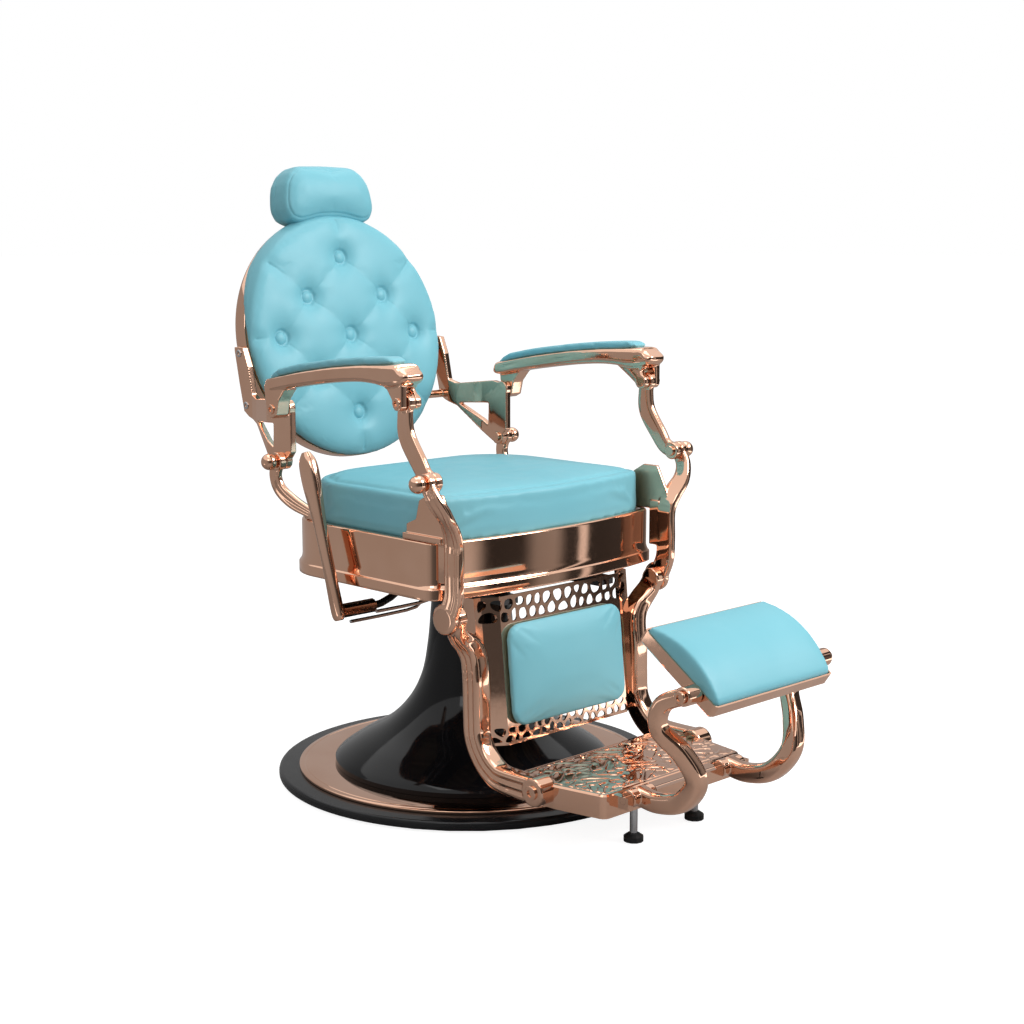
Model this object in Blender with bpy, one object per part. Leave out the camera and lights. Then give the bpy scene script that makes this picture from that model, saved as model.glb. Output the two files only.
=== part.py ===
# Barber chair with a round tufted back, cast frame, pump lift and folding foot pad.
# Metres, +Z up, origin on the floor under the base's centre. The sitter faces -Y.
import math

import bmesh
import bpy
from mathutils import Matrix, Vector

# Gaps
FIT = 0.0003              # between pieces that touch
RUN = 0.0005              # round a pin or a sliding bar
CUT_MARGIN = 0.010        # how far a cutter runs past what it cuts
OPEN_PIVOT = 0.0030       # round the armrest's front pin, where the linkage is left open

# Base and pump
BASE_RADIUS = 0.350
BASE_BOTTOM = 0.004
BASE_TOP = 0.0205
BASE_EDGE = 0.006
FLOOR_PAD_RADIUS = 0.335
TRIM_RADIUS = 0.3134
TRIM_INNER = 0.225
TRIM_HEIGHT = 0.0065
TRIM_BEVEL = (0.006, 0.0025)
TRIM_LIP = 0.001
COVER_FLARE = 0.248
COVER_NECK = 0.070
# The cover's curve: share of its height, share of its flare
COVER_CURVE = ((0.76, 0.035), (0.52, 0.10), (0.35, 0.24), (0.22, 0.46), (0.12, 0.76), (0.055, 0.94),
               (0.025, 1.0))
COVER_UNDER_HUB = 0.004   # clearance below the hub's skirt
COVER_WALL = 0.004
CYLINDER_RADIUS = 0.046
CYLINDER_BORE = 0.036
CYLINDER_HEADROOM = 0.019 # from the cylinder's top to the cover's
CYLINDER_FLOOR = 0.012
GLAND_HEIGHT = 0.011
RAM_RADIUS = 0.033
RAM_BOTTOM = 0.075
PISTON_HEIGHT = 0.020
HUB_HEIGHT = 0.050        # from the ram's shoulder to the hub's top
RAM_FLANGE = 0.050
RAM_FLANGE_HEIGHT = 0.008
SPIGOT_RADIUS = 0.022
SPIGOT_HEIGHT = 0.030
BEARING_OUTER = 0.046
BEARING_HEIGHT = 0.006
HUB_RADIUS = 0.068
HUB_LAP = 0.003           # how far the hub's skirt hangs below the ram's shoulder
HUB_IN_SKIRT = 0.018      # how far the hub's top stands up inside the seat skirt

# Seat
SUBFRAME_PLATE = 0.012
SUBFRAME_ARM = 0.060      # half width of each arm
SUBFRAME_SIDE = 0.235
SUBFRAME_FRONT = 0.175
SUBFRAME_REAR = 0.180
SUBFRAME_PAD = 0.030
SKIRT_HALF = 0.270
SKIRT_REAR = 0.215
SKIRT_REAR_RADIUS = 0.110
SKIRT_FRONT = 0.190       # at the front corners
SKIRT_BOW = 0.035         # how far the middle of the front stands forward of them
SKIRT_FRONT_RADIUS = 0.025
SKIRT_BOTTOM = 0.384
SKIRT_TOP = 0.479
SKIRT_STEP_TOP = 0.408
SKIRT_STEP = 0.006
SKIRT_WALL = 0.004
SKIRT_LIP = 0.016
BOARD_THICKNESS = 0.018
CUSHION_HALF = 0.256
CUSHION_REAR = 0.195
CUSHION_REAR_RADIUS = 0.130
CUSHION_FRONT = 0.180
CUSHION_HEIGHT = 0.074
CUSHION_DOME = ((0.55, 0.23), (0.88, 0.47), (1.0, 0.645))  # shares of its crown and half width
CUSHION_CROWN = 0.012
CUSHION_EDGE = 0.010      # rounding of its upper and lower edges
CUSHION_DRAW = 0.004      # how far the sides pull in at half height

# Pivots of the armrest linkage, as (y, z)
PIVOT_BACK = (0.197, 0.578)
PIVOT_ARM_REAR = (0.186, 0.671)
PIVOT_ARM_FRONT = (-0.162, 0.706)
PIVOT_LINK = (-0.2245, 0.584)
PIVOT_LEG = (-0.222, 0.356)
EYE_RADIUS = 0.016
HEEL_RADIUS = 0.022
PIN_RADIUS = 0.005
PIN_HEAD = 0.009
PIN_HEAD_HEIGHT = 0.004
KNOB_RADIUS = 0.013
KNOB_STAND = 0.8          # share of the knob's radius that its middle stands off the eye
# The upright layers that the castings lie in, by distance from the middle plane
BRACKET_IN = 0.2560
LINK_IN = 0.2840
POST_IN = 0.2515
LAYER_GAP = 0.0005
EYE_WIDTH = 0.0140
POST_HALF_WIDTH = 0.0063
POST_TOP_HALF_DEPTH = 0.0125
POST_HALF_DEPTH = 0.0155
REAR_POST_HALF_DEPTH = 0.0135
LINK_HALF_DEPTH = 0.0135
# Castings' middle lines: share of the way from the first layer to the last, then y and z from the pivot
FRONT_POST_PATH = ((0.0, 0.0, 0.0), (0.04, -0.0135, -0.024), (0.33, -0.0205, -0.049), (0.75, -0.0165, -0.076),
                   (1.0, -0.0125, -0.104), (1.0, -0.0125, -0.154), (1.0, -0.0115, -0.192))
REAR_POST_PATH = ((0.0, 0.0, 0.0), (0.0, 0.008, -0.026), (0.15, -0.001, -0.051), (0.55, -0.027, -0.072))
LINK_PATH = ((0.0, 0.0), (0.004, -0.020), (0.000, -0.054), (-0.028, -0.094), (-0.0435, -0.1135))
SHOULDER_IN = 0.2585
SHOULDER_REAR = -0.150
SHOULDER_RISE = 0.080     # of the web beside the cushion, above the skirt
WEB_BOTTOM = 0.415        # of the web between the front post and the skirt
WEB_REAR = -0.2022
SHOE_HALF = (0.0065, 0.0165)
SHOE_HEIGHT = 0.010
REAR_FOOT_INSET = (0.014, 0.086)  # of the rear post's shoe, from the skirt's side and rear

# Armrests
ARM_IN = 0.2655           # at its front
ARM_WIDTH = 0.055
ARM_TOE = 0.018           # how far the arm runs inward towards its rear
ARM_NOSE_AHEAD = 0.012    # of the front pivot
ARM_TAIL_BEHIND = 0.022   # of the rear pivot
ARM_FRONT_RISE = 0.062    # of its top above the front pivot
ARM_REAR_RISE = 0.051     # of its top above the rear pivot
ARM_FALL = 1.8            # power of the curve along its top
ARM_NOSE = 0.007
ARM_BEAM = 0.022          # depth of the beam
ARM_BLOCK = 0.014         # how much deeper its front block is
ARM_BLOCK_LENGTH = 0.075
ARM_PAD_HEIGHT = 0.010
ARM_PAD_AHEAD = 0.028     # from the arm's front to the pad's
ARM_PAD_BEHIND = 0.008
ARM_PAD_INSET = 0.004
# Outlines of the arm's rear hook and front lug, in y and z from their pivots
HOOK_OUTLINE = ((0.020, 0.040), (0.016, 0.008), (0.012, -0.012), (0.000, -0.0165), (-0.0135, -0.010),
                (-0.020, 0.016), (-0.038, 0.036), (-0.075, 0.048))
LUG_OUTLINE = ((0.052, 0.034), (0.024, 0.020), (0.0125, 0.004), (0.0105, -0.007), (0.005, -0.0125),
               (-0.005, -0.0125), (-0.0105, -0.007), (-0.0105, 0.030))

# Back, measured from the middle of its front face along its own upright and normal
BACK_Y = 0.345
BACK_Z = 0.780
BACK_TILT = 10.2
SHELL_RADIUS = 0.229
SHELL_FRONT = 0.006
SHELL_REAR = 0.042
SHELL_WALL = 0.003
SHELL_EDGE = 0.010
BACK_BOARD_THICKNESS = 0.012
BACK_CUSHION_INSET = 0.007  # from the shell's edge
BACK_CROWN = 0.024
# The cushion's edge: inset, then rise off the board; then inset and share of the shoulder
BACK_EDGE_ROWS = ((0.012, 0.0), (0.002, 0.003), (0.0, 0.009))
BACK_SHOULDER_ROWS = ((0.004, 0.62), (0.012, 1.0))
BACK_EDGE_RADIUS = 0.026
TUFT_DEPTH = 0.019
TUFT_SIZE = 0.026
FOLD_DEPTH = 0.007
FOLD_SIZE = 0.011
BUTTON_ACROSS = 0.090     # second and fourth rows, from the middle
BUTTON_ACROSS_MID = 0.160 # third row
BUTTON_UP = 0.0735        # from row to row
BRACKET_STANDOFF = 0.004  # of its plate, off the shell's edge
BRACKET_STEP_Y = (0.238, 0.310)
# The bracket's slices: y, then its lower and upper edge
BRACKET_SLICES = ((0.1716, 0.594, 0.671), (0.192, 0.5716, 0.684), (0.210, 0.5684, 0.687),
                  (0.240, 0.5850, 0.684), (0.294, 0.6330, 0.678), (0.313, 0.6400, 0.684),
                  (0.324, 0.6440, 0.735), (0.338, 0.6530, 0.768), (0.351, 0.7050, 0.769),
                  (0.363, 0.7600, 0.768))
BRACKET_WINDOW = ((0.2780, 0.6370), (0.2340, 0.6380), (0.2350, 0.6090))
BOSS_RADIUS = 0.008
BOSS_BEHIND = 0.006       # of the shell's front edge
BOSS_DROPS = (0.032, 0.125)  # below the back's middle

# Headrest
SOCKET_WIDTH = 0.060
SOCKET_DEPTH = 0.026
SOCKET_BELOW_EDGE = 0.049 # from the shell's upper edge
SOCKET_HEIGHT = 0.080
BAR_WIDTH = 0.036
BAR_THICKNESS = 0.006
BAR_UNDER_SOCKET = 0.080  # how far the bar hangs below its socket
BAR_IN_PILLOW = 0.034     # above the pillow's middle
BAR_STANDOFF = 0.010
CLAMP_KNOB_RADIUS = 0.016
CLAMP_KNOB_LENGTH = 0.020
PILLOW_HALF_WIDTH = 0.106
PILLOW_HALF_HEIGHT = 0.054
PILLOW_RISE = 0.037       # of its middle, above the shell's edge
PILLOW_FRONT = -0.028
PILLOW_CORNER = 0.045
# Its slices: share of its depth, then inset
PILLOW_ROWS = ((0.0, 0.016), (0.07, 0.005), (0.22, 0.0), (0.5, 0.0), (0.72, 0.002), (0.85, 0.008),
               (0.94, 0.020), (1.0, 0.040))
PILLOW_SAG = 0.0215       # how far the lower edge hollows upward in the middle
PLATE_HALF = (0.045, 0.030)
PLATE_THICKNESS = 0.0035

# Pump lever, on the sitter's right
LEVER_PIVOT = (0.012, 0.340)
LEVER_TOP = (0.092, 0.606)
LEVER_X = -0.2985
LEVER_HALF_WIDTH = 0.0065
LEVER_HALF_DEPTH = 0.011
SLEEVE_RADIUS = 0.0125
SLEEVE_LENGTH = 0.070
# The lever's slices: share of its length, then shares of its half width and depth
LEVER_ROWS = ((-0.055, 0.8, 0.75), (0.0, 1.0, 1.05), (0.25, 1.0, 0.85), (0.5, 1.0, 0.80), (0.64, 1.25, 0.95),
              (0.80, 1.8, 1.28), (0.93, 1.7, 1.22), (0.995, 0.8, 0.6))
SHAFT_RADIUS = 0.0065
SHAFT_END = 0.002         # of the shaft, inside the sleeve's outer end
SHAFT_BEND = (0.020, 0.048)  # where it leaves the sleeve's line, and how high its bend ends
ROD_BEND = (0.040, 0.030)
# Linkage rods: start from the sleeve's inner end, drop and offset from the shaft, where they turn up
LINKAGE_RODS = {"long": (0.064, -0.016, -0.016, 0.118), "short": (0.022, -0.002, -0.034, 0.100)}
ROD_RADIUS = 0.0032
SHAFT_RISE_X = -0.140

# Leg rest
LEG_X = 0.201
LEG_HALF_WIDTH = 0.013
LEG_HALF_DEPTH = 0.023
LEG_TOP_HALF_DEPTH = 0.019
LEG_FOOT = (-0.366, 0.0905)
LEG_EYE_RADIUS = 0.024
LEG_HEAD = 0.018          # width of its upper eye
LEG_HEAD_RADIUS = 0.019
# Its middle line: x from the leg's own plane, then y and z; the head's rows lie off the pivot
LEG_HEAD_PATH = ((0.037, 0.006, -0.026), (0.021, 0.010, -0.051), (0.0065, 0.008, -0.076))
LEG_PATH = ((-0.2205, 0.240), (-0.2215, 0.190), (-0.2245, 0.150), (-0.240, 0.121), (-0.262, 0.101),
            (-0.290, 0.0915))
PANEL_TOP = (-0.223, 0.378)
PANEL_LOW = (-0.248, 0.130)
PANEL_WALL = 0.003
PANEL_FLANGE = 0.026
PANEL_FLAT = 0.147        # half width of its flat front
PANEL_FOLD = (0.172, 0.018)  # where the folded sides end, across and to the rear
PAD_HALF_WIDTH = 0.131
PAD_TOP = 0.331
PAD_LOW = 0.160
PAD_CORNER = 0.024
PAD_HEIGHT = 0.020
PAD_CROWN = 0.010
# Its slices: shares of its height and crown, then inset
PAD_ROWS = ((0.0, 0.0, 0.005), (0.19, 0.0, 0.0), (0.7, 0.0, 0.0), (0.92, 0.0, 0.003), (1.0, 0.0, 0.008),
            (1.0, 0.6, 0.032), (1.0, 1.0, 0.068))
BRACKET_BAR_X = 0.118
BRACKET_BAR_HALF = 0.019
BRACKET_BAR_HEIGHT = 0.014
BRACKET_BAR_REAR = -0.150

# Footplate
PLATE_FRONT = -0.485
PLATE_REAR = -0.300
PLATE_HALF_FRONT = 0.170
PLATE_TAPER_Y = -0.390
PLATE_TOP = 0.103
PLATE_BOTTOM = 0.064
PLATE_WALL = 0.005
PLATE_CORNER = 0.012
PLATE_BEVEL = 0.003
PLATE_LUG = 0.012         # thickness of the lugs beside the fork
LEVELLER_X = 0.0766
LEVELLER_Y = -0.4627
LEVELLER_ROD = 0.0065
LEVELLER_TRAVEL = 0.012
RUBBER_RADIUS = 0.0165
RUBBER_HEIGHT = 0.013
FLOOR_GAP = 0.002

# Foot pad on its two S arms
FORK_PIVOT = (-0.506, 0.096)
FORK_X = 0.112
# Its middle line off the cross rod, then off the pan's pivot
FORK_PATH = ((0.0, 0.004, 0.001), (0.0, -0.040, -0.008), (0.001, -0.094, 0.006), (0.008, -0.128, 0.048),
             (0.028, -0.104, 0.098))
FORK_TOP_PATH = ((0.0, 0.067, -0.063), (0.002, 0.056, -0.020), (0.0, -0.004, 0.001))
FORK_SLEEVE = 0.0275      # half length
FORK_SLEEVE_RADIUS = 0.0145
FORK_RADIUS = 0.0132
FORK_ROD = 0.0060
PAN_PIVOT = (-0.645, 0.295)
PAN_HALF_WIDTH = 0.1465
PAN_LENGTH = 0.172
PAN_DEPTH = 0.026
PAN_TILT = 34.4
PAN_PIVOT_ALONG = 0.131   # from the pan's upper edge
PAN_PIVOT_BELOW = 0.009   # from the pan's rim
PAN_WALL = 0.003
PAN_CORNER = 0.006
FOOT_PAD_HEIGHT = 0.006
FOOT_PAD_CROWN = 0.024
FOOT_PAD_DRAW = 0.003     # how far the pad's corners draw in
PAN_BOSS = 0.0150
PAN_BOSS_OUT = 0.1800
PAN_BOSS_GAP = 0.002

# Fineness
ROUND = 36
MID_ROUND = 24
SMALL_ROUND = 12
SECTION = 8
HALF_STEP = 0.5           # turns a bore's or pin's facets clear of the eye's

for old in list(bpy.data.objects):
    bpy.data.objects.remove(old, do_unlink=True)


def finish_of(name, colour, roughness, metallic):
    mat = bpy.data.materials.new(name)
    mat.use_nodes = True
    shader = mat.node_tree.nodes["Principled BSDF"]
    shader.inputs["Base Color"].default_value = (*colour, 1.0)
    shader.inputs["Roughness"].default_value = roughness
    shader.inputs["Metallic"].default_value = metallic
    mat.diffuse_color = (*colour, 1.0)
    return mat


ROSE_GOLD = finish_of("rose_gold", (0.78, 0.50, 0.36), 0.12, 1.0)
VINYL = finish_of("turquoise_vinyl", (0.20, 0.62, 0.70), 0.45, 0.0)
BLACK_GLOSS = finish_of("black_gloss", (0.008, 0.008, 0.009), 0.10, 0.0)
BLACK_STEEL = finish_of("black_steel", (0.02, 0.02, 0.02), 0.45, 0.3)
BRIGHT_STEEL = finish_of("bright_steel", (0.62, 0.62, 0.63), 0.22, 1.0)
RUBBER = finish_of("black_rubber", (0.015, 0.015, 0.015), 0.75, 0.0)
PLYWOOD = finish_of("plywood", (0.55, 0.38, 0.22), 0.7, 0.0)


def pivot_empty(name, y, z, parent=None):
    """An empty on a joint's axis, for the pieces that turn with it."""
    empty = bpy.data.objects.new(name, None)
    bpy.context.collection.objects.link(empty)
    empty.location = (0.0, y, z)
    if parent:
        empty.parent = parent
        empty.matrix_parent_inverse = Matrix.Translation(-parent.matrix_world.translation)
    bpy.context.view_layer.update()
    return empty


def make(name, bm, mat, carrier=None):
    """Turn a bmesh into a named piece that rides on its carrier's empty."""
    bmesh.ops.remove_doubles(bm, verts=bm.verts, dist=1e-6)
    bmesh.ops.recalc_face_normals(bm, faces=bm.faces)
    mesh = bpy.data.meshes.new(name)
    bm.to_mesh(mesh)
    bm.free()
    mesh.materials.append(mat)
    mesh.shade_smooth()
    mesh.set_sharp_from_angle(angle=math.radians(35))
    piece = bpy.data.objects.new(name, mesh)
    bpy.context.collection.objects.link(piece)
    if carrier:
        piece.parent = carrier
        piece.matrix_parent_inverse = carrier.matrix_world.inverted()
    return piece


def combine(piece, bm, operation):
    """Join a helper shape to a piece, or cut it away."""
    helper = make(piece.name + "_helper", bm, ROSE_GOLD)
    helper.hide_render = True
    helper.display_type = "WIRE"
    step = piece.modifiers.new(operation.lower(), "BOOLEAN")
    step.operation = operation
    step.solver = "EXACT"
    step.object = helper


def loft(rings, closed=False):
    """Skin a row of rings with equal counts; open rows get flat ends."""
    bm = bmesh.new()
    rows = [[bm.verts.new(point) for point in ring] for ring in rings]
    count = len(rows[0])
    pairs = list(zip(rows, rows[1:]))
    if closed:
        pairs.append((rows[-1], rows[0]))
    for lower, upper in pairs:
        for i in range(count):
            j = (i + 1) % count
            bm.faces.new((lower[i], lower[j], upper[j], upper[i]))
    if not closed:
        bm.faces.new(rows[0][::-1])
        bm.faces.new(rows[-1])
    return bm


def turned(profile, segments=ROUND, phase=0.0):
    """Spin an (r, z) profile about Z; one that leaves the axis is a ring."""
    bm = bmesh.new()
    start = math.tau * phase / segments
    verts = [bm.verts.new((r * math.cos(start), r * math.sin(start), z)) for r, z in profile]
    edges = [bm.edges.new(pair) for pair in zip(verts, verts[1:])]
    if profile[0][0] > 0.0:
        edges.append(bm.edges.new((verts[-1], verts[0])))
    bmesh.ops.spin(bm, geom=verts + edges, cent=(0, 0, 0), axis=(0, 0, 1),
                   angle=math.tau, steps=segments, use_merge=True)
    bmesh.ops.remove_doubles(bm, verts=bm.verts, dist=1e-5)
    return bm


def along_x(bm, side, y, z):
    """Lay a turned shape along X, its foot inward, on the given side."""
    turn = Matrix.Rotation(math.radians(90.0), 4, "Y")
    place = Matrix.Diagonal((side, 1.0, 1.0, 1.0)) @ Matrix.Translation((0.0, y, z))
    bmesh.ops.transform(bm, matrix=place @ turn, verts=bm.verts)
    return bm


def rod_x(side, x0, x1, centre, radius, phase=0.0):
    bm = turned([(0.0, x1), (radius, x1), (radius, x0), (0.0, x0)], SMALL_ROUND, phase)
    return along_x(bm, side, *centre)


def prism_x(side, outline, x0, x1):
    """Extrude a (y, z) outline from x0 to x1."""
    rings = [[(side * x, y, z) for y, z in outline] for x in (x0, x1)]
    return loft(rings)


def block(low, high):
    (x0, y0, z0), (x1, y1, z1) = low, high
    corners = ((x0, y0), (x1, y0), (x1, y1), (x0, y1))
    return loft([[(x, y, z) for x, y in corners] for z in (z0, z1)])


def rounded(points, radius, steps=4, between=0):
    """Round each corner of a closed outline with an arc, with points between the arcs."""
    out = []
    count = len(points)
    for i in range(count):
        here = Vector(points[i])
        before = (Vector(points[i - 1]) - here).normalized()
        after = (Vector(points[(i + 1) % count]) - here).normalized()
        half = before.angle(after) / 2.0
        reach = radius / math.tan(half)
        middle = here + (before + after).normalized() * (radius / math.sin(half))
        first = here + before * reach - middle
        last = here + after * reach - middle
        for k in range(steps + 1):
            spot = first.lerp(last, k / steps).normalized() * radius
            out.append(tuple(middle + spot))
        start = here + after * reach
        beyond = Vector(points[(i + 1) % count]) - after * reach
        out += [tuple(start.lerp(beyond, (k + 1) / (between + 1))) for k in range(between)]
    return out


def smooth_path(controls, steps):
    """Points of a Catmull-Rom curve through rows of numbers."""
    rows = [Vector(row) for row in controls]
    rows = [rows[0] * 2 - rows[1]] + rows + [rows[-1] * 2 - rows[-2]]
    out = []
    for a, b, c, d in zip(rows, rows[1:], rows[2:], rows[3:]):
        for k in range(steps):
            t = k / steps
            out.append(0.5 * (2 * b + (c - a) * t + (2 * a - 5 * b + 4 * c - d) * t * t
                              + (3 * b - a - 3 * c + d) * t ** 3))
    out.append(rows[-2])
    return out


def casting(side, controls, steps=4, across=(1.0, 0.0, 0.0), power=3.2, sides=SECTION):
    """Sweep a rounded-square section; controls are (x, y, z, half width, half depth)."""
    path = smooth_path(controls, steps)
    spots = [Vector((side * p[0], p[1], p[2])) for p in path]
    rings = []
    ends = [Vector((side * row[0], row[1], row[2])) for row in controls]
    for i, p in enumerate(path):
        if i == 0:
            ahead = ends[1] - ends[0]
        elif i == len(path) - 1:
            ahead = ends[-1] - ends[-2]
        else:
            ahead = spots[i + 1] - spots[i - 1]
        deep = ahead.cross(Vector(across)).normalized()
        wide = deep.cross(ahead).normalized()
        ring = []
        for k in range(sides):
            turn = math.tau * (k + 0.5) / sides
            c, s = math.cos(turn), math.sin(turn)
            u = math.copysign(abs(c) ** (2.0 / power), c) * p[3]
            v = math.copysign(abs(s) ** (2.0 / power), s) * p[4]
            ring.append(spots[i] + wide * u + deep * v)
        rings.append(ring)
    bm = loft(rings)
    bmesh.ops.triangulate(bm, faces=bm.faces)
    return bm


def seat_outline(half, rear, rear_radius, front, bow, front_radius, inset=0.0):
    """The seat's D outline, drawn in by inset, from the rear middle round to it again."""
    half -= inset
    rear -= inset
    front -= inset
    rear_radius = max(rear_radius - inset, 0.002)
    front_radius = max(front_radius - inset, 0.002)
    side = []
    for k in range(9):
        turn = math.radians(90.0 - 90.0 * k / 8)
        side.append((half - rear_radius + rear_radius * math.cos(turn),
                     rear - rear_radius + rear_radius * math.sin(turn)))
    for k in range(5):
        turn = math.radians(-80.0 * k / 4)
        side.append((half - front_radius + front_radius * math.cos(turn),
                     -front + front_radius + front_radius * math.sin(turn)))
    reach = half - front_radius
    for k in range(1, 5):
        x = reach * (1.0 - k / 5)
        side.append((x, -front - bow * (1.0 - (x / reach) ** 2)))
    middle = [(0.0, -front - bow)]
    mirrored = [(-x, y) for x, y in reversed(side)]
    return side + middle + mirrored


def skirt_ring(z, inset):
    outline = seat_outline(SKIRT_HALF, SKIRT_REAR, SKIRT_REAR_RADIUS, SKIRT_FRONT,
                           SKIRT_BOW, SKIRT_FRONT_RADIUS, inset)
    return [(x, y, z) for x, y in outline]


def cushion_ring(z, inset):
    outline = seat_outline(CUSHION_HALF, CUSHION_REAR, CUSHION_REAR_RADIUS, CUSHION_FRONT,
                           SKIRT_BOW, SKIRT_FRONT_RADIUS, inset)
    return [(x, y, z) for x, y in outline]


# The joints' empties
seat_axis = pivot_empty("seat_axis", 0.0, 0.0)
back_axis = pivot_empty("back_axis", *PIVOT_BACK, seat_axis)
arm_axis = pivot_empty("arm_axis", *PIVOT_ARM_REAR, back_axis)
link_axis = pivot_empty("link_axis", *PIVOT_LINK, seat_axis)
leg_axis = pivot_empty("leg_axis", *PIVOT_LEG, seat_axis)
fork_axis = pivot_empty("fork_axis", *FORK_PIVOT, leg_axis)
pan_axis = pivot_empty("pan_axis", *PAN_PIVOT, fork_axis)
lever_axis = pivot_empty("lever_axis", *LEVER_PIVOT, seat_axis)

# The layers' faces: bracket inside, then rear post and link, then front post
LAYER_TWO = BRACKET_IN + EYE_WIDTH + LAYER_GAP
LAYER_END = LAYER_TWO + EYE_WIDTH
LUG_IN = LINK_IN + EYE_WIDTH + LAYER_GAP
LUG_OUT = LUG_IN + EYE_WIDTH
BACK_CUSHION_RADIUS = SHELL_RADIUS - BACK_CUSHION_INSET
BRACKET_PLATE_IN = SHELL_RADIUS + BRACKET_STANDOFF
SOCKET_HIGH = SHELL_RADIUS - SOCKET_BELOW_EDGE
SOCKET_LOW = SOCKET_HIGH - SOCKET_HEIGHT
PILLOW_CENTRE = SHELL_RADIUS + PILLOW_RISE
BAR_LOW = SOCKET_LOW - BAR_UNDER_SOCKET
BAR_HIGH = PILLOW_CENTRE + BAR_IN_PILLOW
HUB_TOP = SKIRT_BOTTOM + HUB_IN_SKIRT
RAM_SHOULDER = HUB_TOP - HUB_HEIGHT
HUB_SKIRT_BOTTOM = RAM_SHOULDER - HUB_LAP
COVER_TOP = HUB_SKIRT_BOTTOM - COVER_UNDER_HUB
CYLINDER_TOP = COVER_TOP - CYLINDER_HEADROOM
ARM_FRONT = PIVOT_ARM_FRONT[0] - ARM_NOSE_AHEAD
ARM_REAR = PIVOT_ARM_REAR[0] + ARM_TAIL_BEHIND
ARM_FRONT_TOP = PIVOT_ARM_FRONT[1] + ARM_FRONT_RISE
ARM_REAR_TOP = PIVOT_ARM_REAR[1] + ARM_REAR_RISE
HOOK_OUT = ARM_IN + ARM_WIDTH - ARM_TOE - ARM_PAD_INSET


def build_base():
    make("base_plate", turned([
        (0.0, BASE_TOP), (BASE_RADIUS - BASE_EDGE, BASE_TOP),
        (BASE_RADIUS, BASE_TOP - BASE_EDGE), (BASE_RADIUS - BASE_EDGE * 0.5, BASE_BOTTOM),
        (0.0, BASE_BOTTOM)]), BLACK_STEEL)
    high = BASE_BOTTOM - FIT
    make("base_floor_pad", turned([
        (0.0, high), (FLOOR_PAD_RADIUS, high), (FLOOR_PAD_RADIUS, 0.0), (0.0, 0.0)]), RUBBER)
    bottom = BASE_TOP + FIT
    crown = bottom + TRIM_HEIGHT
    make("base_trim_ring", turned([
        (TRIM_INNER, crown),
        (TRIM_RADIUS - TRIM_BEVEL[0], crown - TRIM_BEVEL[1]), (TRIM_RADIUS, bottom + TRIM_LIP),
        (TRIM_RADIUS, bottom), (TRIM_INNER, bottom)]), ROSE_GOLD)

    foot = crown + FIT
    outer = [(COVER_NECK, COVER_TOP)]
    rise = COVER_TOP - foot
    flare = COVER_FLARE - COVER_NECK
    for share, spread in COVER_CURVE:
        outer.append((COVER_NECK + flare * spread, foot + rise * share))
    outer.append((COVER_FLARE, foot))
    inner_wall = [(r - COVER_WALL, z - COVER_WALL) for r, z in outer[1:-2]]
    inner_wall = [(COVER_FLARE - 2 * COVER_WALL, foot)] + inner_wall[::-1]
    mouth = RAM_RADIUS + RUN + GLAND_HEIGHT * 0.35
    lid = [(COVER_NECK - COVER_WALL, COVER_TOP - COVER_WALL), (mouth, COVER_TOP - COVER_WALL),
           (mouth, COVER_TOP)]
    make("pedestal_cover", turned(outer + inner_wall + lid), BLACK_GLOSS)

    seat = BASE_TOP + FIT
    floor = seat + CYLINDER_FLOOR
    make("pump_cylinder", turned([
        (0.0, floor), (CYLINDER_BORE, floor), (CYLINDER_BORE, CYLINDER_TOP),
        (CYLINDER_RADIUS, CYLINDER_TOP), (CYLINDER_RADIUS, seat), (0.0, seat)], MID_ROUND), BLACK_STEEL)
    low = CYLINDER_TOP + FIT
    high = low + GLAND_HEIGHT
    bore = RAM_RADIUS + RUN
    make("cylinder_gland", turned([
        (bore, high), (CYLINDER_RADIUS, high), (CYLINDER_RADIUS, low), (bore, low)], MID_ROUND), BRIGHT_STEEL)


def build_lift():
    flange_top = RAM_SHOULDER + RAM_FLANGE_HEIGHT
    spigot_top = flange_top + SPIGOT_HEIGHT
    make("lift_ram", turned([
        (0.0, spigot_top), (SPIGOT_RADIUS, spigot_top), (SPIGOT_RADIUS, flange_top),
        (RAM_FLANGE, flange_top), (RAM_FLANGE, RAM_SHOULDER), (RAM_RADIUS, RAM_SHOULDER),
        (RAM_RADIUS, RAM_BOTTOM), (0.0, RAM_BOTTOM)], MID_ROUND), BRIGHT_STEEL, seat_axis)
    high = RAM_BOTTOM - FIT
    radius = CYLINDER_BORE - RUN
    make("ram_piston", turned([
        (0.0, high), (radius, high), (radius, high - PISTON_HEIGHT),
        (0.0, high - PISTON_HEIGHT)], MID_ROUND), RUBBER, seat_axis)
    low = flange_top + FIT
    high = low + BEARING_HEIGHT
    bore = SPIGOT_RADIUS + RUN
    make("thrust_bearing", turned([
        (bore, high), (BEARING_OUTER, high), (BEARING_OUTER, low), (bore, low)], MID_ROUND),
        BRIGHT_STEEL, seat_axis)
    ceiling = high + FIT
    pocket = RAM_FLANGE + 2 * RUN
    blind = spigot_top + 2 * RUN
    make("swivel_hub", turned([
        (0.0, HUB_TOP), (HUB_RADIUS, HUB_TOP), (HUB_RADIUS, HUB_SKIRT_BOTTOM),
        (pocket, HUB_SKIRT_BOTTOM), (pocket, ceiling), (bore, ceiling), (bore, blind),
        (0.0, blind)], MID_ROUND), BLACK_GLOSS, seat_axis)


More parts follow.
